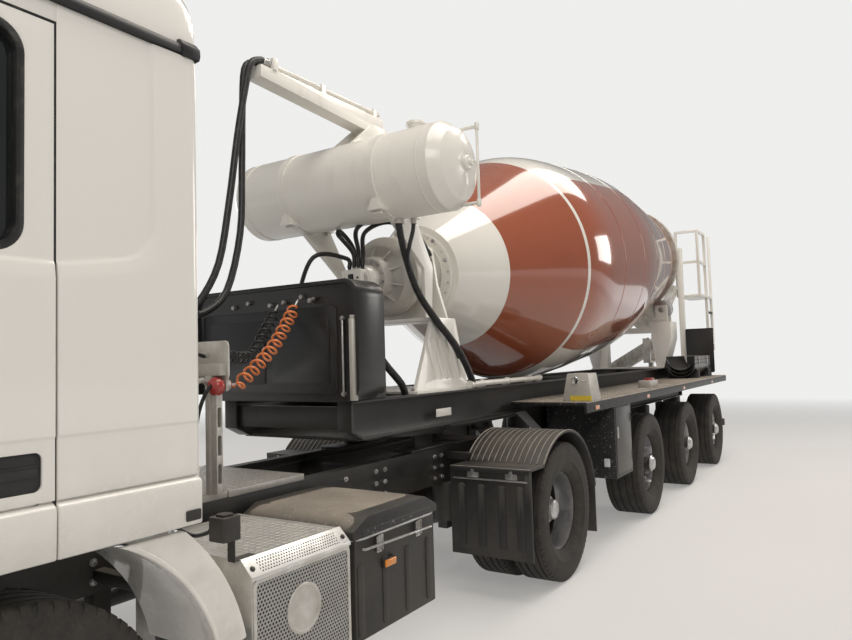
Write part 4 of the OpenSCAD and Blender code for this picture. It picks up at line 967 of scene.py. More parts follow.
def helix(route, radius, pitch, lead):
    """A curly line wound about a route, straight for the length lead at both ends."""
    axis = smooth(route, 24)
    total = length_of(axis)
    turns = round((total - 2 * lead) / pitch)
    rows = list(travel(axis))
    reach, starts = 0.0, [0.0]
    for (a, *_), (b, *_) in zip(rows, rows[1:]):
        reach += (b - a).length
        starts.append(reach)

    def at(distance):
        i = max(k for k in range(len(starts)) if starts[k] <= distance + 1e-9)
        j = min(i + 1, len(rows) - 1)
        t = 0 if i == j else (distance - starts[i]) / (starts[j] - starts[i])
        return [x.lerp(y, t) for x, y in zip(rows[i], rows[j])]

    path = [at(lead * k / 6)[0] for k in range(4)]
    steps = turns * COIL_STEPS
    for k in range(steps + 1):
        centre, _, normal, other = at(lead + (total - 2 * lead) * k / steps)
        grow = min(1, k / COIL_STEPS * 1.2, (steps - k) / COIL_STEPS * 1.2)
        angle = 2 * pi * k / COIL_STEPS
        path.append(centre + (normal * cos(angle) + other * sin(angle)) * radius * grow)
    return path + [at(total - lead * k / 6)[0] for k in range(3, -1, -1)]


class MIXER_OT_cords(bpy.types.Operator):
    """Makes the two hydraulic hoses, the curly air line and the curly electric line"""
    bl_idname = "mixer.cords"
    bl_label = "Hoses and curly lines"

    def execute(self, context):
        wire = context.scene.mixer_truck.coil_wire
        pitch = context.scene.mixer_truck.coil_pitch
        # Columns: node, path, radius, sides, finish
        cords = [
            ("hydraulic_hose_left", smooth(HOSE_A, 4), HOSE_RADIUS, 12, "hose_rubber"),
            ("hydraulic_hose_right", smooth(HOSE_B, 4), HOSE_RADIUS, 12, "hose_rubber"),
            ("air_coil", helix(AIR_COIL, 0.034, pitch, 0.05), wire / 2, 6, "orange_coil"),
            ("electric_coil", helix(BLACK_COIL, 0.03, pitch * 0.8, 0.05), wire / 2, 6, "hose_rubber"),
        ]
        for node, path, radius, sides, kind in cords:
            s = Shape()
            s.tube(path, radius, sides)
            cord = s.done(node + "_line", "trailer", kind, angle=60, replaces=(node,))
            cord.parent = None
            tuple(path[0])
            tuple(path[-1])
            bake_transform(cord)
            for place, other, word, body in ((path[0], path[1], "bracket", "tractor"),
                                             (path[-1], path[-2], "far", "trailer")):
                e = Shape()
                out = (other - place).normalized()
                r = radius
                e.lathe([(0, 0.001), (r * 1.25, 0.001), (r * 1.3, 0.012), (r * 1.45, 0.014),
                         (r * 1.45, 0.024), (r * 1.18, 0.026), (r * 1.18, 0.055), (r * 0.9, 0.06),
                         (0, 0.06)], place, out, 16)
                e.done(f"{node}_ferrule_{word}", body, "bare_steel", 0.001)
            tuple(path[0])
            length_of(path)
            [tuple(p) for p in path]
        return {"FINISHED"}


# Wheels

BEAD_R = 0.2865
# The rim's own bodies stay within this radius
RIM_REACH = 0.32
# Tyre section: share of the height above the bead, share of the half width
SIDEWALL = [(0.0, 0.6), (0.05, 0.72), (0.12, 0.8), (0.2, 0.87), (0.34, 0.95), (0.36, 0.975), (0.4, 0.975),
            (0.42, 0.965), (0.55, 1.0), (0.68, 0.985), (0.8, 0.95), (0.88, 0.91), (0.94, 0.875),
            (0.965, 0.84)]
GROOVES = [-0.56, -0.2, 0.2, 0.56]


def tyre_section(radius, width):
    """Closed section of a tyre as (radius, distance from its middle)."""
    half = width / 2
    side = [(BEAD_R + a * (radius - BEAD_R), b * half) for a, b in SIDEWALL]
    tread = [(radius - 0.004, 0.78 * half)]
    for g in reversed(GROOVES):
        for r, d in ((-0.001, 0.045), (-0.012, 0.03), (-0.012, -0.03), (-0.001, -0.045)):
            tread.append((radius + r, (g + d) * half))
    tread.append((radius - 0.004, -0.78 * half))
    return side + tread + [(r, -y) for r, y in reversed(side)]


def tread_block(radius, width, count):
    """One lug of the tyre's shoulder, its X outwards and its Z along the wheel's axis."""
    s = Shape()
    long = pi * 2 * radius / count * 0.62
    half = width / 2
    # Columns: distance out from the ring's radius, share of the half width
    section = [(-0.012, 0.74), (0.0, 0.76), (-0.002, 0.84), (-0.012, 0.895), (-0.045, 0.945), (-0.05, 0.91)]
    s.faces([[(x, side * long / 2, share * half) for x, share in section] for side in (-1, 1)])
    s.faces([[(x, side * long / 2 + long * 0.3, -share * half) for x, share in section] for side in (-1, 1)])
    return s


def tyre_mesh(radius, width, blocks):
    """One tyre about the Z axis, its middle at the origin."""
    s = Shape()
    s.lathe(tyre_section(radius, width), (0, 0, 0), UP, 72)
    item = tread_block(radius, width, blocks).mesh("block")
    s.add(repeated("Ring of pieces", item, "tyre_rubber", Count=blocks, Radius=radius - 0.001))
    return s.mesh("tyre")


def rim_mesh(node, centre):
    """The rim's own bodies out of a CAD wheel."""
    bm = merged(node)
    for group in islands(bm):
        reach = max(hypot(v.co.x - centre.x, v.co.z - centre.z) for f in group for v in f.verts)
        if reach > RIM_REACH:
            bmesh.ops.delete(bm, geom=list(group), context="FACES")
    return flat_mesh(bm, "rim")


class MIXER_OT_wheels(bpy.types.Operator):
    """Makes every tyre with its tread and every rim with its nuts"""
    bl_idname = "mixer.wheels"
    bl_label = "Wheels"

    # Kind of wheel: tyre width, then distances outwards from its joint to tyres, nuts and hub end
    KINDS = {
        "wheel_front": (0.315, (0.0,), 0.088, 0.186),
        "wheel_rear": (0.29, (0.0, -0.345), -0.154, -0.014),
        "trailer_wheel": (0.385, (0.0,), 0.068, 0.167),
    }

    def execute(self, context):
        blocks = context.scene.mixer_truck.tread_blocks
        tyres = {}
        for kind, (width, places, disc, hub) in self.KINDS.items():
            for node in [n for n in frame["nodes"] if n.startswith(kind)]:
                centre = joint_place(node + "_spin")
                side = 1 if centre.y > 0 else -1
                if kind not in tyres:
                    tyres[kind] = tyre_mesh(centre.z, width, blocks)
                out = Vector((0, side, 0))
                rubber = Shape()
                for y in places:
                    rubber.add(tyres[kind], facing(centre + out * y, out, (1, 0, 0)))
                rubber.done(node + "_tyre", node, "tyre_rubber", angle=28, replaces=(node,))
                piece(rim_mesh(node, centre), node + "_rim", node, "rim_silver", 0.0015, 30, (node,), 1)
                self.nuts(node, centre, out, disc)
                self.cap(node, centre, out, hub)
        return {"FINISHED"}

    def nuts(self, node, centre, out, disc):
        ring = repeated("Ring of pieces", nut(0.016, 0.022, 0.014), "bare_steel",
                        facing(centre + out * disc, out), Count=10, Radius=0.1675)
        piece(ring, node + "_nuts", node, "bare_steel")

    def cap(self, node, centre, out, hub):
        s = Shape()
        s.lathe([(0, -0.004), (0.082, -0.004), (0.084, 0.002), (0.07, 0.01), (0.066, 0.022), (0.054, 0.03),
                 (0.03, 0.034), (0, 0.035)] if hub > 0 else [(0, -0.006), (0.1, -0.006), (0.1, 0.004),
                                                             (0.078, 0.01), (0.074, 0.05), (0.062, 0.06),
                                                             (0, 0.062)], centre + out * hub, out, 40)
        s.done(node + "_cap", node, "rim_silver", 0.0015)


# Drum

DRUM_LEN = 6.65
RING_S = 6.17
# Outer wall: distance along the axis, radius
DRUM_WALL = [(0.06, 0.42), (0.42, 0.615), (0.78, 0.8), (1.1, 0.957), (1.36, 1.078), (1.56, 1.142),
             (1.8, 1.17), (2.1, 1.175), (2.6, 1.175), (3.1, 1.171), (3.4, 1.155), (3.7, 1.122), (4.2, 1.054),
             (4.9, 0.953), (5.5, 0.866), (6.08, 0.782), (6.36, 0.692), (6.65, 0.6)]
SHEET = 0.008


class MIXER_OT_drum(bpy.types.Operator):
    """Makes the drum with its running ring, seams, flange bolts, hatch and blades"""
    bl_idname = "mixer.drum"
    bl_label = "Drum"

    def execute(self, context):
        s = Shape()
        curve = smooth([(d, r, 0) for d, r in DRUM_WALL], 3)
        outside = [(p.y, p.x) for p in curve]
        inside = [(r - SHEET, d) for r, d in outside]
        inside[0] = (0.0, inside[0][1] + SHEET)
        lip = [(outside[-1][0] + 0.004, DRUM_LEN), (outside[-1][0] - SHEET - 0.004, DRUM_LEN)]
        s.lathe([(0, 0), (0.3, 0), (0.3, 0.028), (0.36, 0.03), (0.372, 0.036), (0.372, 0.05), (0.4, 0.056)]
                + outside[:-1] + lip + inside[-2::-1], DRUM_FOOT, DRUM_AXIS, 120)
        s.done("drum_wall", "drum", "drum_paint", angle=24, replaces=("drum",))

        ring = Shape()
        ring.lathe([(0.776, RING_S - 0.06), (0.817, RING_S - 0.06), (0.82, RING_S - 0.056),
                    (0.82, RING_S + 0.056), (0.817, RING_S + 0.06), (0.75, RING_S + 0.06),
                    (0.75, RING_S - 0.06)], DRUM_FOOT, DRUM_AXIS, 120)
        for d in (-0.075, 0.075):
            r = self.radius(RING_S + d) + 0.002
            ring.lathe([(r - 0.01, RING_S + d - 0.01), (r + 0.02, RING_S + d - 0.01),
                        (r + 0.02, RING_S + d + 0.01), (r - 0.01, RING_S + d + 0.01)], DRUM_FOOT,
                       DRUM_AXIS, 96)
        ring.done("running_ring", "drum", "worn_steel", replaces=("drum",))

        seams = Shape()
        for d in (1.46, 2.2, 2.94, 3.7, 4.62, 5.52):
            r = self.radius(d)
            seams.lathe([(r - 0.004, d - 0.008), (r + 0.002, d - 0.005), (r + 0.0035, d),
                         (r + 0.002, d + 0.005), (r - 0.004, d + 0.008)], DRUM_FOOT, DRUM_AXIS, 120)
        seams.done("drum_seams", "drum", "drum_paint", angle=60)

        bolts = repeated("Ring of pieces", nut(0.018, 0.016, 0.006), "bare_steel",
                         facing(drum_point(0.05), -DRUM_AXIS), Count=24, Radius=0.338)
        piece(bolts, "drum_flange_bolts", "drum", "bare_steel")
        self.hatch()
        refined("drum_blades", "worn_steel", 0.0, 40)
        for node in ("roller_left", "roller_right"):
            refined(node, "bare_steel", 0.006, 30)
        return {"FINISHED"}

    def radius(self, along):
        for (a, ra), (b, rb) in zip(DRUM_WALL, DRUM_WALL[1:]):
            if a <= along <= b:
                return ra + (rb - ra) * (along - a) / (b - a)
        return DRUM_WALL[-1][1]

    def hatch(self):
        """Inspection hatch on the drum's low side, with its raised cover."""
        s = Shape()
        centre = drum_point(2.4, self.radius(2.4) + 0.002, 196)
        out = (drum_point(2.4, 1.0, 196) - drum_point(2.4)).normalized()
        place = facing(centre, out, DRUM_AXIS)
        outline = rounded(-0.26, -0.19, 0.26, 0.19, 0.09)
        for lo, hi, grow in ((-0.02, 0.012, 1.0), (0.012, 0.02, 0.9)):
            s.faces([[place @ Vector((x * grow, y * grow, z - (y * grow) ** 2 / 2.35)) for x, y in outline]
                     for z in (lo, hi)])
        s.done("drum_hatch", "drum", "drum_paint", 0.002)


def rounded(x0, y0, x1, y1, r, steps=6):
    """Outline of a rectangle with round corners."""
    points = []
    for cx, cy, start in ((x1 - r, y1 - r, 0), (x0 + r, y1 - r, 90), (x0 + r, y0 + r, 180),
                          (x1 - r, y0 + r, 270)):
        for k in range(steps + 1):
            a = radians(start + 90 * k / steps)
            points.append((cx + r * cos(a), cy + r * sin(a)))
    return points


# Carried-over shapes

# Nodes kept in their CAD shape: node, finish, edge softening
CARRIED = [
    ("tractor_frame", "black_frame", 0.004),
    ("engine_block", "grey_metal", 0.015),
    ("front_axle", "black_frame", 0.006),
    ("rear_axle", "black_frame", 0.005),
    ("front_bumper", "cab_white", 0.012),
    ("fuel_tank", "tread_alloy", 0.004),
    ("knuckle_left", "black_frame", 0.003),
    ("knuckle_right", "black_frame", 0.003),
    ("trailer_frame", "black_frame", 0.003),
    ("trailer_axles", "black_frame", 0.005),
    ("landing_legs", "black_frame", 0.005),
    ("drum_support", "machine_white", 0.005),
]


class MIXER_OT_frames(bpy.types.Operator):
    """Finishes the frames, boxes and stands that keep their CAD shape"""
    bl_idname = "mixer.frames"
    bl_label = "Frames and stands"

    def execute(self, context):
        for node, kind, bevel in CARRIED:
            refined(node, kind, bevel)
        return {"FINISHED"}


# Cab

def stops(*spans):
    """Rising values from spans of (first, last, step)."""
    values = []
    for first, last, step in spans:
        count = max(1, round((last - first) / step))
        values += [first + (last - first) * k / count for k in range(count + 1)]
    return sorted({round(v, 5) for v in values})


def ease(t):
    t = min(max(t, 0.0), 1.0)
    return t * t * (3 - 2 * t)


def relief(xs, zs, height, back):
    """Closed panel on the left side: its outer face follows height(x, z), its inner face lies at back."""
    s = Shape()
    front = [[s.bm.verts.new((x, height(x, z), z)) for z in zs] for x in xs]
    for a, b in zip(front, front[1:]):
        for j in range(len(zs) - 1):
            s.bm.faces.new((a[j], b[j], b[j + 1], a[j + 1]))
    border = ([row[0] for row in front] + front[-1][1:] + [row[-1] for row in reversed(front[:-1])]
              + front[0][-2:0:-1])
    rim = [s.bm.verts.new((v.co.x, back, v.co.z)) for v in border]
    for i in range(len(border)):
        j = (i + 1) % len(border)
        s.bm.faces.new((border[i], border[j], rim[j], rim[i]))
    s.bm.faces.new(rim)
    return s.mesh("relief")


def cut(mesh, *cutters):
    """A mesh with other closed shapes cut out of it."""
    obj = linked("cut", mesh)
    tools = [linked("cutter", cutter.mesh("cutter")) for cutter in cutters]
    for tool in tools:
        layer = obj.modifiers.new("cut", "BOOLEAN")
        layer.operation, layer.solver, layer.object = "DIFFERENCE", "EXACT", tool
    result = baked(obj)
    for o in [obj, *tools]:
        bpy.data.objects.remove(o)
    return result


def other_side(mesh):
    """The same mesh mirrored to the right side of the vehicle."""
    twin = mesh.copy()
    twin.transform(Matrix.Scale(-1, 4, (0, 1, 0)))
    twin.flip_normals()
    return twin


DOORS = ("door_left", "door_right")


def on_both_sides(mesh, name, body, finish, bevel=0.0, angle=32, segments=2, slot=None):
    """The left piece and its mirror image, on one body or on a left and a right one."""
    left_body, right_body = (body, body) if isinstance(body, str) else body
    mesh = mesh.mesh(name) if isinstance(mesh, Shape) else mesh
    twin = other_side(mesh)
    piece(mesh, name + "_left", left_body, finish, bevel, angle, (), segments, slot)
    piece(twin, name + "_right", right_body, finish, bevel, angle, (), segments, slot)


SIDE_Y = CAB_HI.y
CAB_REAR = CAB_LO.x
DOOR_LINE = 5.135
WAIST_Z, WAIST_REAR, WAIST_CORNER = 2.006, 4.816, 0.1
CREASE_Z = 1.5
WINDOW = (5.222, 2.02, 6.0, 2.675)


def side_height(x, z):
    """Outer face of the cab's side, whose belt stands proud of the window panel."""
    line = WAIST_Z + 0.169 * max(0.0, 5.12 - max(x, 4.82))
    u, w, r = x - WAIST_REAR, z - line, WAIST_CORNER
    outside = hypot(max(r - u, 0), max(r - w, 0)) - r if u < r and w < r else max(-u, -w)
    width = 0.05 + 0.14 * ease((z - 2.15) / 0.55)
    h = 0.0025 + 0.0045 * ease(outside / 0.009) + 0.007 * min(max(outside / width, 0.0), 1.0) ** 0.75
    h -= 0.003 * (1 - ease((z - CREASE_Z + 0.004) / 0.008))
    t = min(max((CAB_REAR + 0.03 - x) / 0.024, 0.0), 1.0)
    return SIDE_Y + h - 0.012 * (1 - sqrt(1 - min(t, 0.98) ** 2))


ROOF_REAR, ROOF_FRONT, ROOF_TURN = CAB_REAR - 0.008, 6.51, 5.6
ROOF_FOOT, ROOF_RISE, ROOF_HALF = 2.825, 0.385, 1.236


def roof_height(x, y):
    """Height of the roof skin, which is lower and rounder towards the windscreen."""
    if x > ROOF_TURN:
        along, power = (x - ROOF_TURN) / (ROOF_FRONT - ROOF_TURN), 2.3
    else:
        along, power = (ROOF_TURN - x) / (ROOF_TURN - ROOF_REAR), 6.0
    lengthwise = max(1 - along ** power, 0.0) ** (1 / power)
    across = max(1 - abs(y / ROOF_HALF) ** 5, 0.0) ** 0.2
    return ROOF_FOOT + ROOF_RISE * lengthwise * across


class MIXER_OT_cab(bpy.types.Operator):
    """Makes the cab with its side panels, doors, sills, roof, windscreen, grille, lamps and mirrors"""
    bl_idname = "mixer.cab"
    bl_label = "Cab"

    def execute(self, context):
        refined("cab_shell", "cab_white", 0.02)
        self.side_panels()
        self.sills()
        self.roof_edge()
        self.roof()
        self.handles()
        self.front()
        self.rear()
        return {"FINISHED"}

    def side_panels(self):
        # Steps are finer at the crease and at the belt
        below = ((1.322, 1.48, 0.03), (1.48, 1.52, 0.003), (1.52, 1.92, 0.04))
        lengths = stops((CAB_REAR + 0.006, CAB_REAR + 0.04, 0.004), (CAB_REAR + 0.04, 4.76, 0.02),
                        (4.76, 4.95, 0.006), (4.95, DOOR_LINE - 0.004, 0.02))
        heights = stops(*below, (1.92, 2.18, 0.006), (2.18, 2.776, 0.03))
        quarter = relief(lengths, heights, side_height, SIDE_Y + 0.0004)
        on_both_sides(quarter, "cab_quarter", "cab", "cab_white", 0.002, 40)
        heights = stops(*below, (1.92, 2.02, 0.006), (2.02, 2.712, 0.05))
        panel = relief(stops((DOOR_LINE + 0.004, 6.082, 0.03)), heights, side_height, SIDE_Y + 0.0004)
        x0, z0, x1, z1 = WINDOW
        window = plate(rounded(x0, z0, x1, z1, 0.085, 10), SIDE_Y - 0.05, SIDE_Y + 0.05)
        grip = plate(rounded(5.175, 1.353, 5.4, 1.463, 0.022), SIDE_Y - 0.05, SIDE_Y + 0.05)
        on_both_sides(cut(panel, window, grip), "door_panel", DOORS, "cab_white", 0.0022, 40)
        for node in DOORS:
            refined(node, "cab_white", 0.003)
            refined(node.replace("door", "door_glass"), "window_glass", 0.0)
        seal = plate(rounded(x0 + 0.0005, z0 + 0.0005, x1 - 0.0005, z1 - 0.0005, 0.085, 10), SIDE_Y - 0.028,
                     SIDE_Y + 0.0035)
        hole = plate(rounded(x0 + 0.022, z0 + 0.022, x1 - 0.022, z1 - 0.022, 0.066, 10), SIDE_Y - 0.06,
                     SIDE_Y + 0.05)
        on_both_sides(cut(seal.mesh("seal"), hole), "window_seal", DOORS, "hose_rubber", 0.0015, 40,
                      slot="black_plastic")
        # Dark strips along the door gaps: partly the black rubber seal, partly painted shade of the gaps.
        joint = plate([(DOOR_LINE - 0.006, 1.3), (DOOR_LINE + 0.006, 1.3), (DOOR_LINE + 0.006, 2.716),
                       (DOOR_LINE - 0.006, 2.716)], SIDE_Y + 0.0002, SIDE_Y + 0.001)
        joint.prism([(DOOR_LINE - 0.006, 2.712), (6.09, 2.712), (6.09, 2.722), (DOOR_LINE - 0.006, 2.722)],
                    SIDE_Y + 0.0002, SIDE_Y + 0.0012)
        on_both_sides(joint, "door_seal", "cab", "hose_rubber", slot="black_plastic")

    def sills(self):
        """Lower side panels, whose upper edge is a sloped shelf."""
        section = [(0.0005, 1.152), (0.016, 1.154), (0.021, 1.16), (0.0225, 1.29), (0.02, 1.303),
                   (0.0005, 1.317)]

        def sill(x0, x1, drop):
            s = Shape()
            xs = stops((x0, x1, 0.03))
            s.faces([[(x, SIDE_Y + y, z - (drop(x) if z < 1.2 else 0.0)) for y, z in section] for x in xs])
            return s.mesh("sill")

        on_both_sides(sill(CAB_REAR + 0.004, DOOR_LINE - 0.003, lambda x: 0.0), "rear_sill", "cab",
                      "cab_white", 0.005, 40, 3)
        on_both_sides(sill(DOOR_LINE + 0.003, 5.8, lambda x: 0.3 * max(0.0, x - 5.28) ** 2 * 1.6),
                      "front_sill", "cab", "cab_white", 0.005, 40, 3)
        tag = plate(rounded(CAB_REAR + 0.012, 1.17, CAB_REAR + 0.074, 1.206, 0.006), SIDE_Y + 0.022,
                    SIDE_Y + 0.0245)
        on_both_sides(tag, "side_plate", "cab", "black_plastic", 0.0008)
        marker = plate(rounded(5.62, 1.215, 5.72, 1.25, 0.012), SIDE_Y + 0.022, SIDE_Y + 0.03)
        on_both_sides(marker, "side_marker", "cab", "amber_lens", 0.003)

    def roof_edge(self):
        """Black rain strip above the doors, which ends in a thicker cap at the rear."""
        strip = Shape()
        profile = [(-0.004, 2.778), (0.02, 2.781), (0.023, 2.792), (0.02, 2.806), (0.004, 2.822),
                   (-0.016, 2.822)]
        strip.faces([[(x, SIDE_Y + y, z) for y, z in profile] for x in (4.69, 5.4, 6.05, 6.16)])
        cap = [(-0.006, 2.772), (0.022, 2.775), (0.027, 2.792), (0.025, 2.815), (0.004, 2.838),
               (-0.024, 2.838)]
        strip.faces([[(x, SIDE_Y + y, z) for y, z in cap] for x in (CAB_REAR - 0.004, 4.7)])
        on_both_sides(strip, "rain_strip", "cab", "black_plastic", 0.003, 30)

    def roof(self):
        """Smooth roof skin above the rain strips, round at all its edges, with its marker lamps."""
        s = Shape()
        lengths = [(1 - cos(pi * k / 40)) / 2 for k in range(41)]
        shares = [sin(pi / 2 * (k / 16)) for k in range(-16, 17)]
        rings = []
        for t in lengths:
            x = ROOF_REAR + (ROOF_FRONT - ROOF_REAR) * (0.0015 + 0.997 * t)
            rings.append([(x, ROOF_HALF * v, ROOF_FOOT - 0.012) for v in reversed(shares)]
                         + [(x, ROOF_HALF * v, roof_height(x, ROOF_HALF * v)) for v in shares])
        s.faces(rings)
        s.done("roof_skin", "cab", "cab_white", 0.0, 50)
        marks = Shape()
        for y in (-0.8, -0.4, 0.0, 0.4, 0.8):
            x = 6.22
            top = roof_height(x, y)
            marks.prism(rounded(x - 0.05, y - 0.05, x + 0.05, y + 0.05, 0.02), top - 0.02, top + 0.028, "z")
        marks.done("roof_markers", "cab", "amber_lens", 0.008)

    def handles(self):
        """Door grips in their dark pockets, with the lock beside each."""
        s = plate(rounded(5.1735, 1.3515, 5.4015, 1.4645, 0.023), SIDE_Y + 0.0005, SIDE_Y + 0.0035)
        s.prism(rounded(5.186, 1.396, 5.375, 1.421, 0.01), SIDE_Y + 0.003, SIDE_Y + 0.0105)
        s.prism(rounded(5.186, 1.421, 5.3, 1.428, 0.003), SIDE_Y + 0.003, SIDE_Y + 0.0085)
        s.lathe([(0, 0), (0.009, 0), (0.009, 0.006), (0, 0.007)], (5.352, SIDE_Y + 0.003, 1.376),
                (0, 1, 0), 18)
        on_both_sides(s, "door_grip", DOORS, "black_plastic", 0.0015)

    def front(self):
        refined("windscreen", "window_glass", 0.0)
        refined("cab_interior", "cab_trim", 0.03)
        refined("mirrors", "black_plastic", 0.012)
        refined("front_flap", "black_plastic", 0.003)
        face = CAB_HI.x
        glasses = Shape()
        for lo, hi in ((2.2, 2.54), (2.055, 2.158)):
            glasses.prism(rounded(SIDE_Y + 0.075, lo, SIDE_Y + 0.245, hi, 0.03), face - 0.336,
                          face - 0.329, "x")
        on_both_sides(glasses, "mirror_glass", "cab", "chrome_rod", 0.001)
        # Wipers and sun visor lie on the windscreen's slope
        slope = 0.164

        def on_screen(y, up, out):
            return Vector((face - 0.004 - sin(slope) * up + cos(slope) * out, y,
                           1.8 + cos(slope) * up + sin(slope) * out))

        wipers = Shape()
        for y, tip in ((-0.78, -0.28), (-0.22, 0.28), (0.34, 0.84)):
            foot = on_screen(y, 0.06, 0.006)
            end = on_screen(tip, 0.34, 0.016)
            wipers.rod(foot - Vector((0.014, 0, 0)), foot + Vector((0.014, 0, 0)), 0.016, 12)
            wipers.tube([foot, foot.lerp(end, 0.5) + Vector((0.012, 0, 0)), end], 0.007, 8)
            blade = (end - foot).normalized()
            wipers.rod(end - blade * 0.28, end + blade * 0.22, 0.006, 8)
        wipers.done("wipers", "cab", "black_plastic", 0.001)
        visor = Shape()
        rings = []
        for y in stops((-1.02, 1.02, 0.12)):
            bow = 0.06 * (y / 1.02) ** 2
            a, b = on_screen(y, 0.88, 0.012), on_screen(y, 0.72, 0.115)
            rings.append([(a.x - bow, y, a.z), (b.x - bow, y, b.z), (b.x - bow - 0.006, y, b.z - 0.012),
                          (a.x - bow - 0.012, y, a.z - 0.03)])
        visor.faces(rings)
        visor.done("sun_visor", "cab", "black_gloss", 0.003, slot="black_plastic")
        lamps, bezels = Shape(), Shape()
        for y0, y1 in ((0.77, 0.94), (0.95, 1.12)):
            bezels.prism(rounded(y0, 0.568, y1, 0.752, 0.03), BUMPER_X - 0.085, BUMPER_X - 0.052, "x")
            lamps.prism(rounded(y0 + 0.012, 0.58, y1 - 0.012, 0.74, 0.025), BUMPER_X - 0.054,
                        BUMPER_X - 0.022, "x")
        lamps.mirrored()
        bezels.mirrored()
        bezels.done("headlamp_frames", "tractor", "black_plastic", 0.003)
        lamps.done("headlamps", "tractor", "clear_lens", 0.008, segments=3)
        bars = Shape()
        for k in range(5):
            z = 1.18 + 0.075 * k
            bars.box((face - 0.008, -0.84, z + 0.045), (face - 0.0012, 0.84, z + 0.062))
        bars.done("grille_bars", "front_flap", "bare_steel", 0.002)

    def rear(self):
        """Stamped ribs on the rear wall."""
        ribs = Shape()
        for y in (-0.9, -0.6, -0.3, 0.0, 0.3, 0.6, 0.9):
            ribs.prism(rounded(y - 0.06, 1.62, y + 0.06, 2.66, 0.05), CAB_REAR - 0.0025,
                       CAB_REAR + 0.004, "x")
        ribs.done("rear_wall_ribs", "cab", "cab_white", 0.002)


# Boxes, mudguards and coupling of the tractor

def arc(centre_x, centre_z, radius, start, end):
    """Points of an arc in the plane of the vehicle's length and height, in degrees from the front."""
    count = max(2, round(abs(end - start) / 3))
    turns = [radians(start + (end - start) * k / count) for k in range(count + 1)]
    return [(centre_x + radius * cos(a), centre_z + radius * sin(a)) for a in turns]


def lozenges(x0, y0, x1, y1, z, name, body, step=0.044):
    """Raised marks in staggered rows on a sheet that looks up."""
    s = Shape()
    for turn, shift in ((45, 0.0), (-45, 0.5)):
        item = Shape()
        # Columns: share of the foot's size, height
        levels = ((1.0, -0.001), (1.0, 0.0008), (0.55, 0.0024))
        item.faces([[(0.015 * k * cos(a), 0.0048 * k * sin(a), h) for a in (i * pi / 4 for i in range(8))]
                    for k, h in levels])
        mesh = item.mesh("lozenge")
        mesh.transform(Matrix.Rotation(radians(turn), 4, "Z"))
        columns, rows = int((x1 - x0) / step - shift), int((y1 - y0) / step - shift)
        middle = Matrix.Translation(((x0 + x1) / 2, (y0 + y1) / 2, z))
        s.add(repeated("Rows of pieces", mesh, "tread_alloy", middle, Columns=columns, Rows=rows,
                       Width=(columns - 1) * step, Depth=(rows - 1) * step))
    s.done(name, body, "tread_alloy")


def lamp(place, out, size, name, body, finish):
    """A small lamp in a dark frame: size is its half length, half height and depth."""
    out = Vector(out).normalized()
    flat = facing(place, out, UP.cross(out) if abs(out.z) < 0.9 else (1, 0, 0))
    a, b, depth = size
    surround, glass = Shape(), Shape()
    border = rounded(-a, -b, a, b, min(a, b) * 0.4, 4)
    surround.faces([[flat @ Vector((x, y, z)) for x, y in border] for z in (-0.002, depth * 0.6)])
    pane = rounded(-a * 0.88, -b * 0.84, a * 0.88, b * 0.84, min(a, b) * 0.35, 4)
    # Columns: share of the pane's size, height
    levels = ((1.0, depth * 0.4), (1.0, depth * 0.85), (0.8, depth))
    glass.faces([[flat @ Vector((x * k, y * k, z)) for x, y in pane] for k, z in levels])
    surround.done(name + "_frame", body, "black_plastic", 0.001)
    glass.done(name, body, finish, 0.0006)


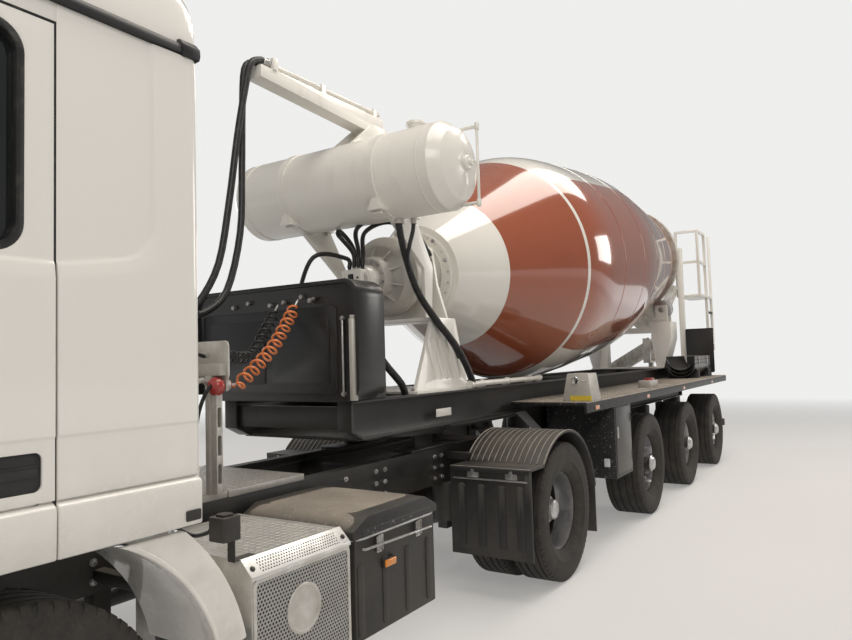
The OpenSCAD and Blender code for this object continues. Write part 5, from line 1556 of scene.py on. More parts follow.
class MIXER_OT_boxes(bpy.types.Operator):
    """Makes the tractor's silencer box, battery box, mudguards, steps and lamps"""
    bl_idname = "mixer.boxes"
    bl_label = "Tractor boxes"

    def execute(self, context):
        self.front_guards()
        self.silencer()
        self.battery()
        self.fender()
        self.frame_parts()
        return {"FINISHED"}

    def front_guards(self):
        refined("front_mudguards", "black_plastic", 0.006)
        outer, inner, top, end = 0.817, 0.692, 1.1375, 167.3

        def where(radius):
            return 180 - degrees(asin((top - STEER_Z) / radius))

        def bow(far, near):
            """Outline between two arcs from the guard's flat top to its front edge."""
            return (arc(STEER_X, STEER_Z, far, where(far), end)
                    + arc(STEER_X, STEER_Z, near, end, where(near)))

        flare = plate(bow(outer, inner), 0.838, 1.2472)
        lip = plate(bow(inner + 0.012, inner - 0.006), 1.2, 1.2495)
        on_both_sides(flare, "wheel_flare", "tractor", "cab_white", 0.014, 40, 4)
        on_both_sides(lip, "flare_lip", "tractor", "cab_white", 0.006, 40, 3)
        steps = Shape()
        for z in (0.4815, 0.7215):
            steps.prism(rounded(STEER_X + 0.765, 1.064, STEER_X + 1.035, 1.236, 0.012), z - 0.001,
                        z + 0.006, "z")
        on_both_sides(steps, "step_plate", "tractor", "tread_alloy", 0.002)
        for side, word in SIDES:
            for k, z in enumerate((0.4885, 0.7285)):
                near, far = sorted((side * 1.07, side * 1.23))
                lozenges(STEER_X + 0.775, near, STEER_X + 1.03, far, z - 0.001, f"step_tread_{word}_{k}",
                         "tractor", 0.036)

    def silencer(self):
        refined("silencer_box", "tread_alloy", 0.008)
        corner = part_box("silencer_box")[1]
        x0, x1, y = 3.812, corner.x, corner.y
        panel = plate(rounded(x0 + 0.012, 0.352, x1 - 0.012, 0.872, 0.02), y - 0.004, y + 0.004)
        panel.done("silencer_grille", "tractor", "perforated", 0.002)
        rim = plate(rounded(x0 + 0.003, 0.343, x1 - 0.003, 0.881, 0.026), y - 0.004, y + 0.0065)
        hole = plate(rounded(x0 + 0.02, 0.36, x1 - 0.02, 0.864, 0.016), y - 0.05, y + 0.05)
        piece(cut(rim.mesh("rim"), hole), "silencer_rim", "tractor", "tread_alloy", 0.002, 40)
        boss = Shape()
        middle = ((x0 + x1) / 2 + 0.01, y + 0.0035, 0.7)
        boss.lathe([(0, 0), (0.098, 0), (0.1, 0.003), (0.097, 0.006), (0.088, 0.0065), (0.084, 0.003),
                    (0, 0.0022)], middle, (0, 1, 0), 48)
        boss.done("silencer_boss", "tractor", "tread_alloy")
        # Sloped strip along the upper edge, which ends in a drip lip
        strip = Shape()
        section = [(1.168, 0.9535), (1.1755, 0.9545), (y + 0.0065, 0.893), (y + 0.0075, 0.88),
                   (y + 0.0035, 0.88), (y + 0.0025, 0.89), (1.174, 0.95)]
        strip.faces([[(x, a, b) for a, b in section] for x in (x0 - 0.004, x1 + 0.004)])
        strip.done("silencer_strip", "tractor", "perforated_slope", 0.0012, 30)
        slope = Vector((0, 0.0595, 0.0615)).normalized()
        nuts([(x, 1.213, 0.9195) for x in (x0 + 0.022, x1 - 0.022)], slope, "silencer_screws", "tractor",
             "black_plastic", (0.009, 0.005, 0.0))
        lozenges(x0 + 0.01, 0.56, x1 - 0.01, 1.165, 0.9505, "silencer_tread", "tractor", 0.036)
        unit = plate(rounded(4.392, 1.1, 4.478, 1.19, 0.012), 1.035, 1.125, "z")
        unit.prism(rounded(4.41, 1.12, 4.46, 1.17, 0.008), 1.124, 1.134, "z")
        unit.box((4.402, 1.125, 0.945), (4.408, 1.165, 1.04))
        unit.box((4.3, 1.125, 0.948), (4.408, 1.165, 0.954))
        unit.rod((4.435, 1.1, 1.06), (4.435, 1.06, 1.06), 0.012, 12)
        unit.done("level_valve", "tractor", "black_plastic", 0.003)
        pipe = Shape()
        pipe.tube(smooth([(4.435, 1.07, 1.06), (4.43, 0.95, 1.03), (4.42, 0.75, 1.06), (4.4, 0.5, 1.05),
                          (4.4, 0.44, 1.0)], 6), 0.008, 8)
        pipe.done("valve_line", "tractor", "hose_rubber")

    def battery(self):
        refined("battery_box", "black_plastic", 0.012)
        lid = Shape()
        # Columns: height, inset
        levels = [(0.8805, 0.0), (0.905, -0.001), (0.925, 0.006), (0.948, 0.03), (0.964, 0.062),
                  (0.974, 0.1), (0.9785, 0.16)]
        rings = []
        for z, i in levels:
            outline = rounded(3.056 + i, 0.476 + i * 0.7, 3.774 - i, 1.2225 - i * 0.9, 0.085 - i * 0.3, 8)
            rings.append([(x, y, z) for x, y in outline])
        lid.faces(rings)
        lid.done("battery_lid", "tractor", "deck_top", 0.003, 50, slot="black_plastic")
        edge = plate(rounded(3.052, 0.474, 3.778, 1.2275, 0.088, 8), 0.874, 0.8835, "z")
        edge.done("battery_lid_edge", "tractor", "bare_steel", 0.002)
        bar = Shape()
        bar.tube([(3.13, 1.2235, 0.812), (3.14, 1.232, 0.815), (3.7, 1.232, 0.83), (3.71, 1.2235, 0.833)],
                 0.006, 8)
        for x in (3.25, 3.58):
            bar.prism(rounded(x - 0.02, 0.79, x + 0.02, 0.865, 0.006), 1.219, 1.2245)
            clasp = [(x - 0.014, 1.2245, 0.8), (x - 0.014, 1.233, 0.8), (x - 0.014, 1.233, 0.87),
                     (x + 0.014, 1.233, 0.87), (x + 0.014, 1.233, 0.8), (x + 0.014, 1.2245, 0.8)]
            bar.tube(clasp, 0.0035, 6)
        bar.done("battery_clasps", "tractor", "bare_steel")
        ribs = Shape()
        for x in (3.14, 3.33, 3.52, 3.71):
            ribs.prism(rounded(x - 0.025, 0.44, x + 0.025, 0.76, 0.02), 1.206, 1.2145)
        ribs.done("battery_ribs", "tractor", "black_plastic", 0.004)
        lamp((3.5, 1.2145, 0.725), (0, 1, 0), (0.05, 0.02, 0.02), "tractor_marker_left", "tractor",
             "amber_lens")
        lamp((3.5, -1.2365, 0.8), (0, -1, 0), (0.05, 0.02, 0.0125), "tractor_marker_right", "tractor",
             "amber_lens")

    def fender(self):
        refined("rear_mudguards", "black_plastic", 0.005)
        radius = STEER_Z + 0.075 + 0.0135
        ribs, edge, fittings = Shape(), Shape(), Shape()
        bow = (arc(DRIVE_X, STEER_Z, radius + 0.0045, 42.5, 168)
               + arc(DRIVE_X, STEER_Z, radius - 0.002, 168, 42.5))
        for k in range(12):
            y = 0.655 + 0.0485 * k
            ribs.prism(bow, y - 0.004, y + 0.004)
        for y in (1.2425, 0.618):
            edge.tube([(x, y, z) for x, z in arc(DRIVE_X, STEER_Z, radius + 0.001, 42, 171)], 0.0065, 8)
        front = 1.8975
        edge.prism(rounded(0.615, 0.888, 1.24, 0.922, 0.006), front - 0.004, front + 0.01, "x")
        edge.prism([(1.2, 0.3), (1.243, 0.3), (1.243, 0.9), (1.2, 0.9)], front - 0.002, front + 0.006, "x")
        for y in (0.8, 1.1):
            fittings.prism(rounded(y - 0.045, 0.845, y + 0.045, 0.885, 0.008), front - 0.002,
                           front + 0.008, "x")
            fittings.prism(rounded(y - 0.012, 0.85, y + 0.012, 0.905, 0.004), front + 0.006,
                           front + 0.016, "x")
        fittings.box((front, 0.64, 0.832), (front + 0.014, 1.22, 0.842))
        for y in (0.7, 0.86, 1.02, 1.16):
            ribs.prism(rounded(y - 0.03, 0.36, y + 0.03, 0.8, 0.025), front - 0.002, front + 0.004, "x")
        on_both_sides(ribs, "fender_ribs", "tractor", "fender_dust", 0.0012)
        on_both_sides(edge, "fender_edge", "tractor", "fender_dust", 0.001)
        on_both_sides(fittings, "fender_clips", "tractor", "bare_steel", 0.001)
        flap = Shape()
        for y in (0.7, 0.93, 1.16):
            flap.rod((0.612, y, 0.52), (0.6, y, 0.52), 0.014, 12)
            flap.rod((0.612, y, 0.57), (0.6, y, 0.57), 0.014, 12)
        flap.box((0.6005, 0.64, 0.545), (0.612, 1.22, 0.6))
        on_both_sides(flap, "flap_strip", "tractor", "bare_steel", 0.001)
        for side, word in SIDES:
            lamp((0.4, side * 0.33, 0.9), (-1, 0, 0), (0.085, 0.045, 0.035), "tractor_tail_lamp_" + word,
                 "tractor", "red_lens")

    def frame_parts(self):
        """Bolts on the rails, crossing pipes and the drive shaft."""
        spots = [(x, 0.4302, z) for x in (0.62, 0.72, 1.72, 1.82, 2.45, 2.55, 2.86, 4.42, 4.52, 5.86, 5.96)
                 for z in (0.8, 0.88, 0.96)]
        nuts(spots, (0, 1, 0), "rail_bolts_left", "tractor")
        nuts([(x, -y, z) for x, y, z in spots], (0, -1, 0), "rail_bolts_right", "tractor")
        shaft = Shape()
        shaft.rod((4.62, 0, 0.78), (1.52, 0, 0.56), 0.055, 24)
        for x in (4.56, 3.3, 1.62):
            z = 0.56 + (x - 1.52) * 0.22 / 3.1
            shaft.rod((x - 0.05, 0, z - 0.004), (x + 0.05, 0, z + 0.004), 0.085, 24)
        shaft.done("drive_shaft", "tractor", "black_frame", 0.003)
        lines = Shape()
        for y, z in ((0.29, 0.985), (0.27, 0.965), (-0.29, 0.985), (0.25, 0.985)):
            lines.tube(smooth([(4.3, y, z), (3.5, y + 0.01, z - 0.01), (2.6, y, z),
                               (1.6, y - 0.01, z - 0.012), (0.7, y, z)], 8), 0.007, 8)
        lines.done("air_lines", "tractor", "hose_rubber")


class MIXER_OT_coupling(bpy.types.Operator):
    """Makes the coupling bracket with its sockets, the catwalk and the turntable"""
    bl_idname = "mixer.coupling"
    bl_label = "Coupling"

    def execute(self, context):
        refined("coupling_bracket", "grey_metal", 0.003, slot="grey_paint")
        refined("fifth_wheel", "black_frame", 0.004)
        sheet = plate(rounded(0.055, 1.615, 0.505, 1.815, 0.03), 3.8385, 3.8515, "x")
        sheet.done("socket_plate", "tractor", "tread_alloy", 0.002, slot="grey_paint")
        cups, lids = Shape(), Shape()
        for y in (0.22, 0.33):
            cups.lathe([(0, 0), (0.041, 0), (0.043, -0.006), (0.043, -0.022), (0.047, -0.026),
                        (0.047, -0.03), (0, -0.03)], (3.8395, y, 1.74), (1, 0, 0), 24)
            lids.prism(rounded(y - 0.03, 1.772, y + 0.03, 1.79, 0.006), 3.802, 3.838, "x")
        cups.done("socket_cups", "tractor", "black_plastic", 0.001)
        lids.done("socket_hinges", "tractor", "bare_steel", 0.001)
        red = Shape()
        red.lathe([(0, 0.0), (0.036, 0.0), (0.046, 0.012), (0.05, 0.026), (0.047, 0.042), (0.036, 0.056),
                   (0.018, 0.063), (0, 0.064)], (3.852, 0.45, 1.585), (1, 0, 0), 28)
        red.rod((3.806, 0.45, 1.59), (3.8, 0.45, 1.59), 0.026, 20)
        red.done("air_coupling_head", "tractor", "red_part", 0.002)
        post = Shape()
        post.box((3.85, 0.395, 1.045), (3.905, 0.43, 1.64))
        post.tube([(3.9, 0.41, 1.6), (3.93, 0.41, 1.62), (4.02, 0.4, 1.6), (4.18, 0.33, 1.59),
                   (4.35, 0.3, 1.55)], 0.014, 10)
        post.done("bracket_post", "tractor", "grey_metal", 0.004, slot="grey_paint")
        rail = plate([(3.858, 1.055), (3.897, 1.055), (3.897, 1.6), (3.858, 1.6)], 0.43, 0.47)
        slots = [plate(rounded(3.866, z, 3.889, z + 0.1, 0.011), 0.4, 0.5) for z in (1.1, 1.24, 1.38)]
        piece(cut(rail.mesh("rail"), *slots), "slotted_rail", "tractor", "tread_alloy", 0.002)
        lozenges(3.255, -0.415, 3.785, 0.415, 1.0503, "catwalk_tread", "tractor", 0.045)
        edge = plate(rounded(3.24, 1.018, 3.792, 1.0525, 0.006), 0.4295, 0.4335)
        edge.box((3.2365, -0.43, 1.018), (3.2395, 0.4325, 1.0525))
        edge.done("catwalk_edge", "tractor", "tread_alloy", 0.001)
        lines = Shape()
        for y, z in ((0.22, 1.74), (0.33, 1.74), (0.45, 1.585)):
            lines.tube(smooth([(3.853, y, z), (3.92, y, z), (3.95, y * 0.9, z - 0.12), (3.94, y * 0.8, 1.3),
                               (3.92, 0.3, 1.06)], 6), 0.01, 8)
        lines.done("bracket_lines", "tractor", "hose_rubber")
        return {"FINISHED"}


# Tank, gearbox and front of the trailer

class MIXER_OT_machine(bpy.types.Operator):
    """Makes the headboard, pedestal, gearbox with its motor, the water tank and the filling arm"""
    bl_idname = "mixer.machine"
    bl_label = "Drive and water tank"

    def execute(self, context):
        self.headboard()
        self.pedestal()
        self.gearbox()
        self.tank()
        return {"FINISHED"}

    def headboard(self):
        refined("headboard", "black_gloss", 0.006)
        rods, grey = Shape(), Shape()
        rods.rod((3.052, 0.59, 1.485), (3.052, 0.59, 1.965), 0.0075, 12)
        for z in (1.5, 1.95):
            rods.rod((3.038, 0.59, z), (3.062, 0.59, z), 0.013, 10)
        rods.rod((3.039, 0.351, 2.071), (3.075, 0.351, 2.071), 0.017, 6)
        rods.rod((3.07, 0.351, 2.071), (3.07, 0.39, 2.085), 0.009, 10)
        for y, z in ((-0.2, 2.09), (0.0, 2.064), (0.27, 2.1), (0.12, 2.075), (-0.34, 2.07)):
            rods.rod((3.039, y, z), (3.066, y, z), 0.015, 6)
        rods.done("headboard_fittings", "trailer", "bare_steel", 0.001)
        grey.rod((3.052, 0.668, 1.462), (3.052, 0.668, 1.945), 0.024, 20)
        grey.rod((3.052, 0.668, 1.945), (3.052, 0.668, 1.965), 0.017, 20)
        grey.done("headboard_cylinder", "trailer", "grey_metal", 0.002)
        panel = plate(rounded(-0.66, 1.5, 0.54, 2.03, 0.03), 3.0395, 3.044, "x")
        panel.prism(rounded(-0.6, 1.56, -0.06, 1.97, 0.02), 3.0435, 3.0475, "x")
        panel.prism(rounded(0.0, 1.56, 0.48, 1.97, 0.02), 3.0435, 3.0475, "x")
        panel.done("headboard_doors", "trailer", "black_gloss", 0.0015)
        red = Shape()
        red.rod((2.672, 0.545, 1.55), (2.672, 0.545, 1.6), 0.02, 16)
        red.rod((2.672, 0.545, 1.6), (2.672, 0.545, 1.612), 0.012, 12)
        red.done("stop_button", "trailer", "red_part", 0.003)
        box = plate(rounded(2.6, 0.5, 2.78, 0.575, 0.01), 1.452, 1.552, "z")
        box.done("valve_block", "trailer", "black_frame", 0.003)
        tag = plate(rounded(1.775, 1.272, 1.985, 1.328, 0.006), 0.5603, 0.5635)
        tag.done("beam_plate", "trailer", "machine_white", 0.001)

    def pedestal(self):
        refined("drum_pedestal", "machine_white", 0.004)
        feet = [(x, y, 1.47) for x in (1.46, 1.62, 2.02, 2.18) for y in (-0.5, 0.5)]
        nuts(feet, UP, "pedestal_bolts", "trailer", size=(0.017, 0.014, 0.008))
        spots = [drum_point(-0.028, 0.372, 15 + 30 * k) for k in range(12)]
        nuts([p - DRUM_AXIS * 0.014 for p in spots[:3] + spots[9:]], DRUM_AXIS * -1, "mount_bolts",
             "trailer", size=(0.015, 0.013, 0.008))
        pipe = Shape()
        pipe.rod((1.5, 0.585, 1.487), (0.19, 0.585, 1.487), 0.022, 16)
        for x in (1.49, 0.2):
            pipe.rod((x - 0.03, 0.585, 1.487), (x + 0.03, 0.585, 1.487), 0.03, 16)
        for x in (1.3, 0.85, 0.38):
            pipe.tube([(x, 0.535, 1.452), (x, 0.545, 1.495), (x, 0.568, 1.513), (x, 0.596, 1.511),
                       (x, 0.611, 1.487), (x, 0.6, 1.465), (x, 0.575, 1.461), (x, 0.535, 1.455)], 0.005, 6)
        pipe.done("water_pipe", "trailer", "machine_white")

    def gearbox(self):
        refined("drum_gearbox", "grey_metal", 0.006)
        # Columns: number of bolts, radius of their ring, distance before the drum's foot, size of a nut
        for count, radius, along, size in ((20, 0.285, 0.3415, (0.014, 0.012, 0.006)),
                                           (12, 0.132, 0.601, (0.011, 0.01, 0.005))):
            ring = repeated("Ring of pieces", nut(*size), "bare_steel",
                            facing(drum_point(-along), -DRUM_AXIS), Count=count, Radius=radius)
            piece(ring, f"gearbox_bolts_{count}", "trailer", "bare_steel")
        ribs = Shape()
        for k in range(10):
            a = radians(36 * k)
            crest = drum_point(0, 1, 0) - drum_point(0)
            side = Vector((0, 1, 0))
            out = crest * cos(a) + side * sin(a)
            across = DRUM_AXIS.cross(out) * 0.008
            # Columns: distance before the drum's foot, radius
            corners = ((0.35, 0.29), (0.49, 0.24), (0.56, 0.155), (0.35, 0.2))
            foot = [drum_point(-along) + out * reach for along, reach in corners]
            ribs.faces([[p - across for p in foot], [p + across for p in foot]])
        ribs.done("gearbox_ribs", "trailer", "grey_metal", 0.002)
        motor = Shape()
        head = drum_point(-0.7)
        motor.rod(drum_point(-0.6), drum_point(-0.72), 0.105, 32)
        for k in range(4):
            d = 0.635 + 0.03 * k
            motor.lathe([(0.085, d), (0.098, d + 0.002), (0.098, d + 0.012), (0.085, d + 0.014)], DRUM_FOOT,
                        -DRUM_AXIS, 32)
        block = rounded(-0.105, head.z - 0.055, 0.075, head.z + 0.065, 0.012)
        motor.prism(block, head.x - 0.03, head.x + 0.1, "x")
        motor.done("drum_motor", "trailer", "machine_white", 0.005)
        ports = Shape()
        for y in (-0.075, -0.03, 0.015, 0.05):
            ports.rod((head.x + 0.045, y, head.z + 0.06), (head.x + 0.045, y, head.z + 0.1), 0.015, 6)
        cover = rounded(-0.045, head.z - 0.025, 0.005, head.z + 0.03, 0.006)
        ports.prism(cover, head.x + 0.09, head.x + 0.104, "x")
        for y in (-0.08, 0.045):
            ports.rod((head.x + 0.09, y, head.z), (head.x + 0.106, y, head.z), 0.009, 6)
        ports.done("motor_ports", "trailer", "black_frame", 0.001)
        self.hoses(head)

    def hoses(self, head):
        """Thick ribbed pipes from the motor and the tank down to the frame, both ends on the trailer."""
        top = head.z + 0.09
        # Columns: route, radius
        routes = [([(2.23, 0.45, 2.74), (2.225, 0.45, 2.62), (2.165, 0.455, 2.43), (2.097, 0.5, 2.19),
                    (1.98, 0.56, 2.0), (1.77, 0.6, 1.807), (1.62, 0.605, 1.66), (1.5, 0.592, 1.53),
                    (1.47, 0.585, 1.487)], 0.028),
                  ([(2.16, 0.53, 2.74), (2.17, 0.53, 2.62), (2.2, 0.515, 2.5), (2.17, 0.48, 2.38),
                    (2.06, 0.5, 2.16), (1.9, 0.545, 1.96), (1.72, 0.57, 1.78), (1.64, 0.565, 1.7)], 0.016),
                  ([(2.812, 0.42, 1.86), (2.76, 0.44, 1.87), (2.66, 0.47, 1.83), (2.5, 0.5, 1.66),
                    (2.33, 0.5, 1.53), (2.27, 0.49, 1.455)], 0.026),
                  ([(head.x + 0.045, 0.05, top), (head.x + 0.04, 0.055, top + 0.09), (2.2, 0.12, top + 0.24),
                    (2.02, 0.22, top + 0.33), (1.8, 0.3, top + 0.24), (1.66, 0.34, top + 0.06)], 0.018),
                  ([(head.x + 0.045, 0.015, top), (head.x + 0.045, 0.015, top + 0.12),
                    (2.24, 0.08, top + 0.27), (2.05, 0.2, top + 0.38), (1.84, 0.3, top + 0.31),
                    (1.68, 0.36, top + 0.1)], 0.018),
                  ([(head.x + 0.045, -0.03, top), (head.x + 0.05, -0.035, top + 0.11),
                    (2.24, -0.1, top + 0.24), (2.06, -0.22, top + 0.3), (1.82, -0.3, top + 0.22),
                    (1.68, -0.34, top + 0.04)], 0.018),
                  ([(head.x + 0.045, -0.075, top), (head.x + 0.06, -0.09, top + 0.07),
                    (2.42, -0.2, top + 0.06), (2.46, -0.34, 2.1), (2.4, -0.46, 1.75),
                    (2.35, -0.48, 1.455)], 0.018)]
        core, rings = Shape(), Shape()
        for route, radius in routes:
            path = smooth(route, 8)
            core.tube(path, radius * 0.85, 12)
            ring = Shape()
            ring.lathe([(radius * 0.8, -0.004), (radius, -0.002), (radius, 0.002), (radius * 0.8, 0.004)],
                       (0, 0, 0), UP, 12)
            rings.add(repeated("Pieces along a path", ring, "hose_rubber", path=path, Step=0.014))
        core.done("pipe_cores", "trailer", "hose_rubber")
        rings.done("pipe_ribs", "trailer", "hose_rubber")

    def tank(self):
        refined("water_tank", "machine_white", 0.003, 24)
        refined("hose_arm", "machine_white", 0.006)
        x, z, r = 2.23, 3.0, 0.305
        bands = Shape()
        for y, half, out in ((-0.8, 0.005, 0.003), (0.8, 0.005, 0.003), (-0.415, 0.024, 0.006),
                             (0.415, 0.024, 0.006)):
            bands.lathe([(r - 0.004, -half), (r + out, -half), (r + out, half), (r - 0.004, half)],
                        (x, y, z), (0, 1, 0), 96)
        bands.done("tank_bands", "trailer", "machine_white", 0.001)
        lap = [(cos(radians(a)), sin(radians(a))) for a in range(-70, 16, 5)]
        outline = [(x + (r + 0.004) * c, z + (r + 0.004) * s) for c, s in lap]
        outline += [(x + (r - 0.004) * c, z + (r - 0.004) * s) for c, s in reversed(lap)]
        sheet = plate(outline, -0.392, 0.392)
        sheet.done("tank_sheet", "trailer", "machine_white")
        parts = Shape()
        for y in (-0.415, 0.415):
            for side in (-1, 1):
                ear = [(y - 0.06, z - 0.272), (y + 0.06, z - 0.272), (y + 0.018, z - 0.185),
                       (y - 0.018, z - 0.185)]
                near, out = sorted((x + side * 0.13, x + side * 0.248))
                parts.prism(ear, near, out, "x")
                parts.rod((x + side * 0.2, y - 0.035, z - 0.285), (x + side * 0.2, y + 0.035, z - 0.285),
                          0.013, 10)
        parts.done("strap_ears", "trailer", "machine_white", 0.001)
        gauge, boss = Shape(), Shape()
        gx, gy = x - 0.08, 1.058
        for dz in (-0.262, 0.262):
            gauge.rod((gx, 0.9, z + dz), (gx, gy + 0.014, z + dz), 0.012, 12)
            gauge.rod((gx, gy, z + dz - 0.022), (gx, gy, z + dz + 0.022), 0.016, 12)
        gauge.rod((gx, gy, z - 0.29), (gx, gy, z + 0.29), 0.0105, 12)
        gauge.done("tank_gauge", "trailer", "machine_white", 0.001)
        boss.lathe([(0, 0), (0.05, 0), (0.05, 0.03), (0.04, 0.038), (0.022, 0.04), (0.022, 0.062),
                    (0, 0.064)], (x, 1.0, z), (0, 1, 0), 28)
        boss.rod((x, 1.06, z), (x, 1.085, z), 0.009, 6)
        boss.done("tank_boss", "trailer", "machine_white", 0.001)
        neck = Shape()
        neck.lathe([(0, 0), (0.065, 0), (0.065, 0.04), (0.072, 0.042), (0.072, 0.062), (0.06, 0.07),
                    (0, 0.072)], (x, 0.62, z + r - 0.012), UP, 28)
        neck.done("tank_neck", "trailer", "machine_white", 0.002)
        outlets = Shape()
        for px, py in ((2.23, 0.45), (2.16, 0.53)):
            outlets.rod((px, py, z - r + 0.02), (px, py, z - r - 0.035), 0.036 if py < 0.5 else 0.022, 16)
        outlets.done("tank_outlets", "trailer", "grey_metal", 0.002)


# Deck, lamps and rear

class MIXER_OT_deck(bpy.types.Operator):
    """Makes the side decks with their boxes, lamps and markers, and the rear beam's lamps"""
    bl_idname = "mixer.deck"
    bl_label = "Decks and lamps"

    def execute(self, context):
        refined("trailer_deck", "deck_top", 0.004)
        edge = Shape()
        edge.box((DECK_LO.x + 0.01, 1.2465, DECK_TOP - 0.008), (0.757, 1.2508, DECK_TOP + 0.0008))
        edge.mirrored()
        edge.done("deck_edge", "trailer", "worn_steel", 0.001)
        lozenges(-2.6, 0.6, 0.74, 1.22, DECK_TOP + 0.0005, "deck_tread_left", "trailer", 0.085)
        lozenges(-5.65, -1.22, 0.74, -0.6, DECK_TOP + 0.0005, "deck_tread_right", "trailer", 0.085)
        for k, x in enumerate((0.5, -1.1, -2.75, -4.55)):
            for side, word in SIDES:
                lamp((x, side * 1.2495, DECK_TOP - 0.058), (0, side, 0), (0.055, 0.02, 0.0015),
                     f"deck_marker_{word}_{k}", "trailer", "amber_lens")
        for y, name in ((1.16, "box_lamp"), (-1.16, "box_lamp_right")):
            lamp((0.0305, y, 0.705), (1, 0, 0), (0.03, 0.045, 0.02), name, "trailer", "clear_lens")
        self.controls()
        self.chests()
        self.rear()
        return {"FINISHED"}

    def controls(self):
        """Sloped control box with a dial on the left deck, and a small silver unit behind it."""
        foot, top, face = DECK_TOP + 0.0003, DECK_TOP + 0.232, 0.62
        s = Shape()
        s.faces([[(x, lo, foot), (x, hi, foot), (x - lean, hi - 0.034, top), (x - lean, lo + 0.04, top)]
                 for x, lo, hi, lean in ((0.38, 0.985, 1.245, 0.0), (face, 0.985, 1.245, 0.02))])
        s.done("control_box", "trailer", "grey_metal", 0.006, slot="grey_paint")
        dial = Shape()
        dial.lathe([(0, -0.012), (0.032, -0.012), (0.035, 0.008), (0.031, 0.012), (0, 0.009)],
                   (face - 0.011, 1.1, foot + 0.17), (1, 0, 0.09), 28)
        for y in (1.165, 1.195):
            dial.rod((face - 0.02, y, foot + 0.17), (face, y, foot + 0.171), 0.006, 10)
        dial.done("control_dial", "trailer", "chrome_rod", 0.001)
        strip = plate(rounded(1.055, foot + 0.003, 1.243, foot + 0.045, 0.003), face - 0.004,
                      face + 0.0015, "x")
        strip.done("yellow_strip", "trailer", "yellow_mark")
        unit = plate(rounded(-1.98, 0.98, -1.68, 1.13, 0.02), foot, foot + 0.076, "z")
        unit.done("silver_unit", "trailer", "tread_alloy", 0.006)
        red = plate(rounded(-1.95, 1.01, -1.83, 1.1, 0.015), foot + 0.075, foot + 0.1, "z")
        red.done("red_cover", "trailer", "red_part", 0.004)

    def chests(self):
        """Doors, hinges and locks on the tool chests under the decks."""
        s, locks = Shape(), Shape()
        s.prism(rounded(-0.445, 0.6, 0.005, 1.2, 0.02), 1.2385, 1.2445)
        for z in (0.72, 1.08):
            s.rod((-0.45, 1.243, z - 0.04), (-0.45, 1.243, z + 0.04), 0.006, 10)
        locks.prism(rounded(-0.055, 0.92, -0.015, 1.02, 0.012), 1.2435, 1.249)
        locks.mirrored()
        s.mirrored()
        s.done("chest_doors", "trailer", "black_gloss", 0.002)
        locks.done("chest_locks", "trailer", "bare_steel", 0.001)

    def rear(self):
        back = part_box("trailer_frame")[0].x + 0.09
        for side, word in SIDES:
            for k, (finish, y) in enumerate((("red_lens", 1.08), ("amber_lens", 0.96),
                                             ("clear_lens", 0.86))):
                lamp((back, side * y, 0.55), (-1, 0, 0), (0.05, 0.04, 0.03), f"rear_lamp_{word}_{k}",
                     "trailer", finish)
        board = plate(rounded(-0.7, 0.51, -0.2, 0.59, 0.01), back - 0.006, back, "x")
        board.done("rear_plate", "trailer", "machine_white", 0.001)
        stripes = Shape()
        for y in (-0.62, 0.62):
            stripes.box((back - 0.0025, y - 0.14, 0.592), (back, y + 0.14, 0.599))
        for y in (0.7, 0.93, 1.16):
            stripes.rod((-5.7, y, DECK_TOP - 0.015), (-5.726, y, DECK_TOP - 0.015), 0.01, 10)
        stripes.done("rear_bolts", "trailer", "bare_steel")


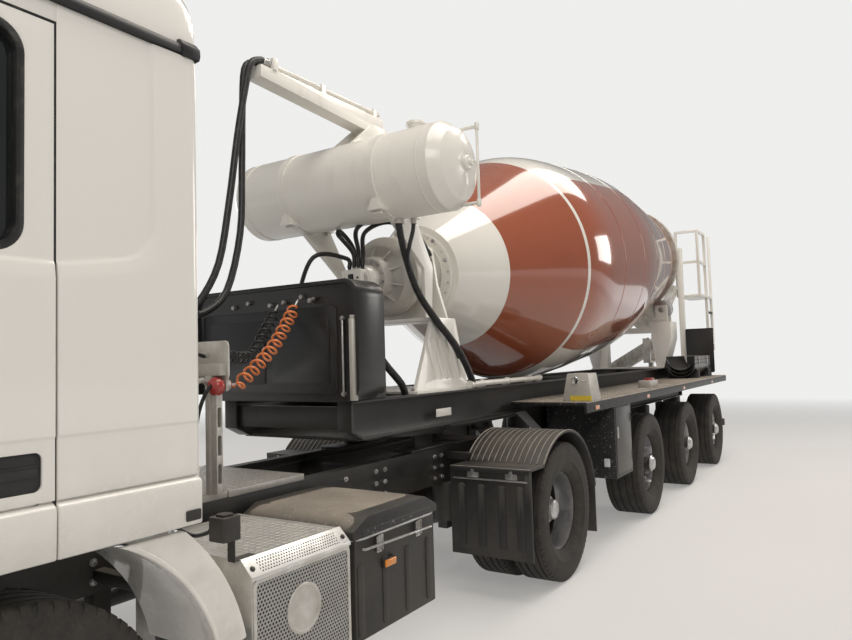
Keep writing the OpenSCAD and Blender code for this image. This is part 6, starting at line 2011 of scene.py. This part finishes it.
class MIXER_OT_outlet(bpy.types.Operator):
    """Makes the hopper, the chutes, the platform with its ladder and the spare chutes"""
    bl_idname = "mixer.outlet"
    bl_label = "Hopper and chutes"

    def execute(self, context):
        refined("hopper", "splashed_white", 0.0, 40)
        refined("hopper_frame", "machine_white", 0.004)
        refined("rear_platform", "machine_white", 0.012)
        refined("spare_chutes", "black_gloss", 0.0, 40)
        refined("chute_swivel", "splashed_white", 0.003)
        refined("chute", "splashed_white", 0.0, 40)
        refined("chute_cylinder", "black_frame", 0.003)
        refined("chute_rod", "chrome_rod", 0.002)
        refined("chute_bearings", "black_frame", 0.003)
        self.hopper_rims()
        self.splash_guard()
        self.bands()
        self.platform()
        return {"FINISHED"}

    def hopper_rims(self):
        s = Shape()
        x, z = -5.6836, 3.72
        turns = [i * pi / 32 for i in range(64)]
        s.tube([(x + 0.45 * cos(a), 0.45 * sin(a), z - 0.006) for a in turns], 0.012, 8, True)
        s.done("hopper_rim", "trailer", "splashed_white")

    def splash_guard(self):
        """Upright black sheet between the spare chutes and the ladder, its edges folded, on two feet."""
        s = plate(rounded(0.7, 1.35, 1.12, 2.06, 0.02), -5.532, -5.528, "x")
        for y in (0.7, 1.108):
            s.box((-5.552, y, 1.37), (-5.528, y + 0.012, 2.04))
        s.box((-5.552, 0.72, 2.046), (-5.528, 1.1, 2.058))
        for y in (0.76, 1.03):
            s.box((-5.575, y, DECK_TOP + 0.0005), (-5.525, y + 0.04, DECK_TOP + 0.006))
            s.box((-5.534, y, DECK_TOP + 0.0005), (-5.526, y + 0.04, 1.43))
        s.done("splash_guard", "trailer", "black_frame", 0.001)

    def bands(self):
        """Holding straps over the spare chutes, and the rolled edges of each chute."""
        lo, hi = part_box("spare_chutes")
        straps, edges = Shape(), Shape()
        y, r = (lo.y + hi.y) / 2, (hi.y - lo.y) / 2
        for x in (lo.x + 0.28, hi.x - 0.28):
            path = [(x, y + (r + 0.004) * k, hi.z + 0.004) for k in (-1.0, -0.5, 0.0, 0.5, 1.0)]
            path += [(x, y + r + 0.006, hi.z - 0.02), (x, y + r + 0.006, hi.z - 0.13)]
            rings = []
            for px, py, pz in path:
                out = 0.002 if py > y + r else 0
                rings.append([(px - 0.02, py, pz), (px + 0.02, py, pz), (px + 0.02, py + out, pz + 0.003),
                              (px - 0.02, py + out, pz + 0.003)])
            straps.faces(rings)
        straps.done("chute_straps", "trailer", "worn_steel")
        for k in range(3):
            z = lo.z + r + 0.05 * k
            for side in (-1, 1):
                edges.tube([(lo.x, y + side * (r - 0.003), z), (hi.x, y + side * (r - 0.003), z)], 0.006, 8)
            for x in (lo.x + 0.004, hi.x - 0.004):
                edges.tube([(x, y + (r - 0.003) * cos(a), z + (r - 0.003) * sin(a))
                            for a in (pi + i * pi / 20 for i in range(21))], 0.006, 8)
        edges.done("spare_chute_edges", "trailer", "black_gloss")

    def platform(self):
        """Grating and anti-slip sleeves on the rungs."""
        lo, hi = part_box("rear_platform")
        grate = Shape()
        step = 0.03
        for k in range(int((hi.x - lo.x) / step) - 1):
            x = lo.x + 0.02 + step * k
            grate.box((x, lo.y + 0.004, 2.629), (x + 0.004, hi.y - 0.045, 2.6345))
        for k in range(9):
            y = lo.y + 0.02 + 0.036 * k
            grate.box((lo.x + 0.01, y, 2.629), (hi.x - 0.045, y + 0.003, 2.6335))
        grate.done("platform_grating", "trailer", "tread_alloy")
        sleeves = Shape()
        for z in (1.78, 2.06, 2.34):
            sleeves.prism(rounded(hi.y - 0.04, z - 0.003, hi.y, z + 0.031, 0.006), lo.x + 0.05,
                          lo.x + 0.39, "x")
        sleeves.done("rung_sleeves", "trailer", "black_plastic", 0.001)


# Panel and run

OPERATORS = [MIXER_OT_stage, MIXER_OT_cords, MIXER_OT_wheels, MIXER_OT_drum, MIXER_OT_frames, MIXER_OT_cab,
             MIXER_OT_boxes, MIXER_OT_coupling, MIXER_OT_machine, MIXER_OT_deck, MIXER_OT_outlet]


class MIXER_PT_truck(bpy.types.Panel):
    """Lists the truck's pieces and its colours"""
    bl_idname = "MIXER_PT_truck"
    bl_label = "Mixer truck"
    bl_space_type = "VIEW_3D"
    bl_region_type = "UI"
    bl_category = "Mixer truck"

    def draw(self, context):
        for name in MixerTruckSettings.__annotations__:
            self.layout.prop(context.scene.mixer_truck, name)
        for operator in OPERATORS:
            self.layout.operator(operator.bl_idname)


CLASSES = [MixerTruckSettings, *OPERATORS, MIXER_PT_truck]


def register():
    for kind in CLASSES:
        bpy.utils.register_class(kind)
    bpy.types.Scene.mixer_truck = PointerProperty(type=MixerTruckSettings)


def unregister():
    del bpy.types.Scene.mixer_truck
    for kind in reversed(CLASSES):
        bpy.utils.unregister_class(kind)


def main():
    register()
    for operator in OPERATORS:
        group, call = operator.bl_idname.split(".")
        getattr(getattr(bpy.ops, group), call)()


if __name__ == "__main__":
    main()
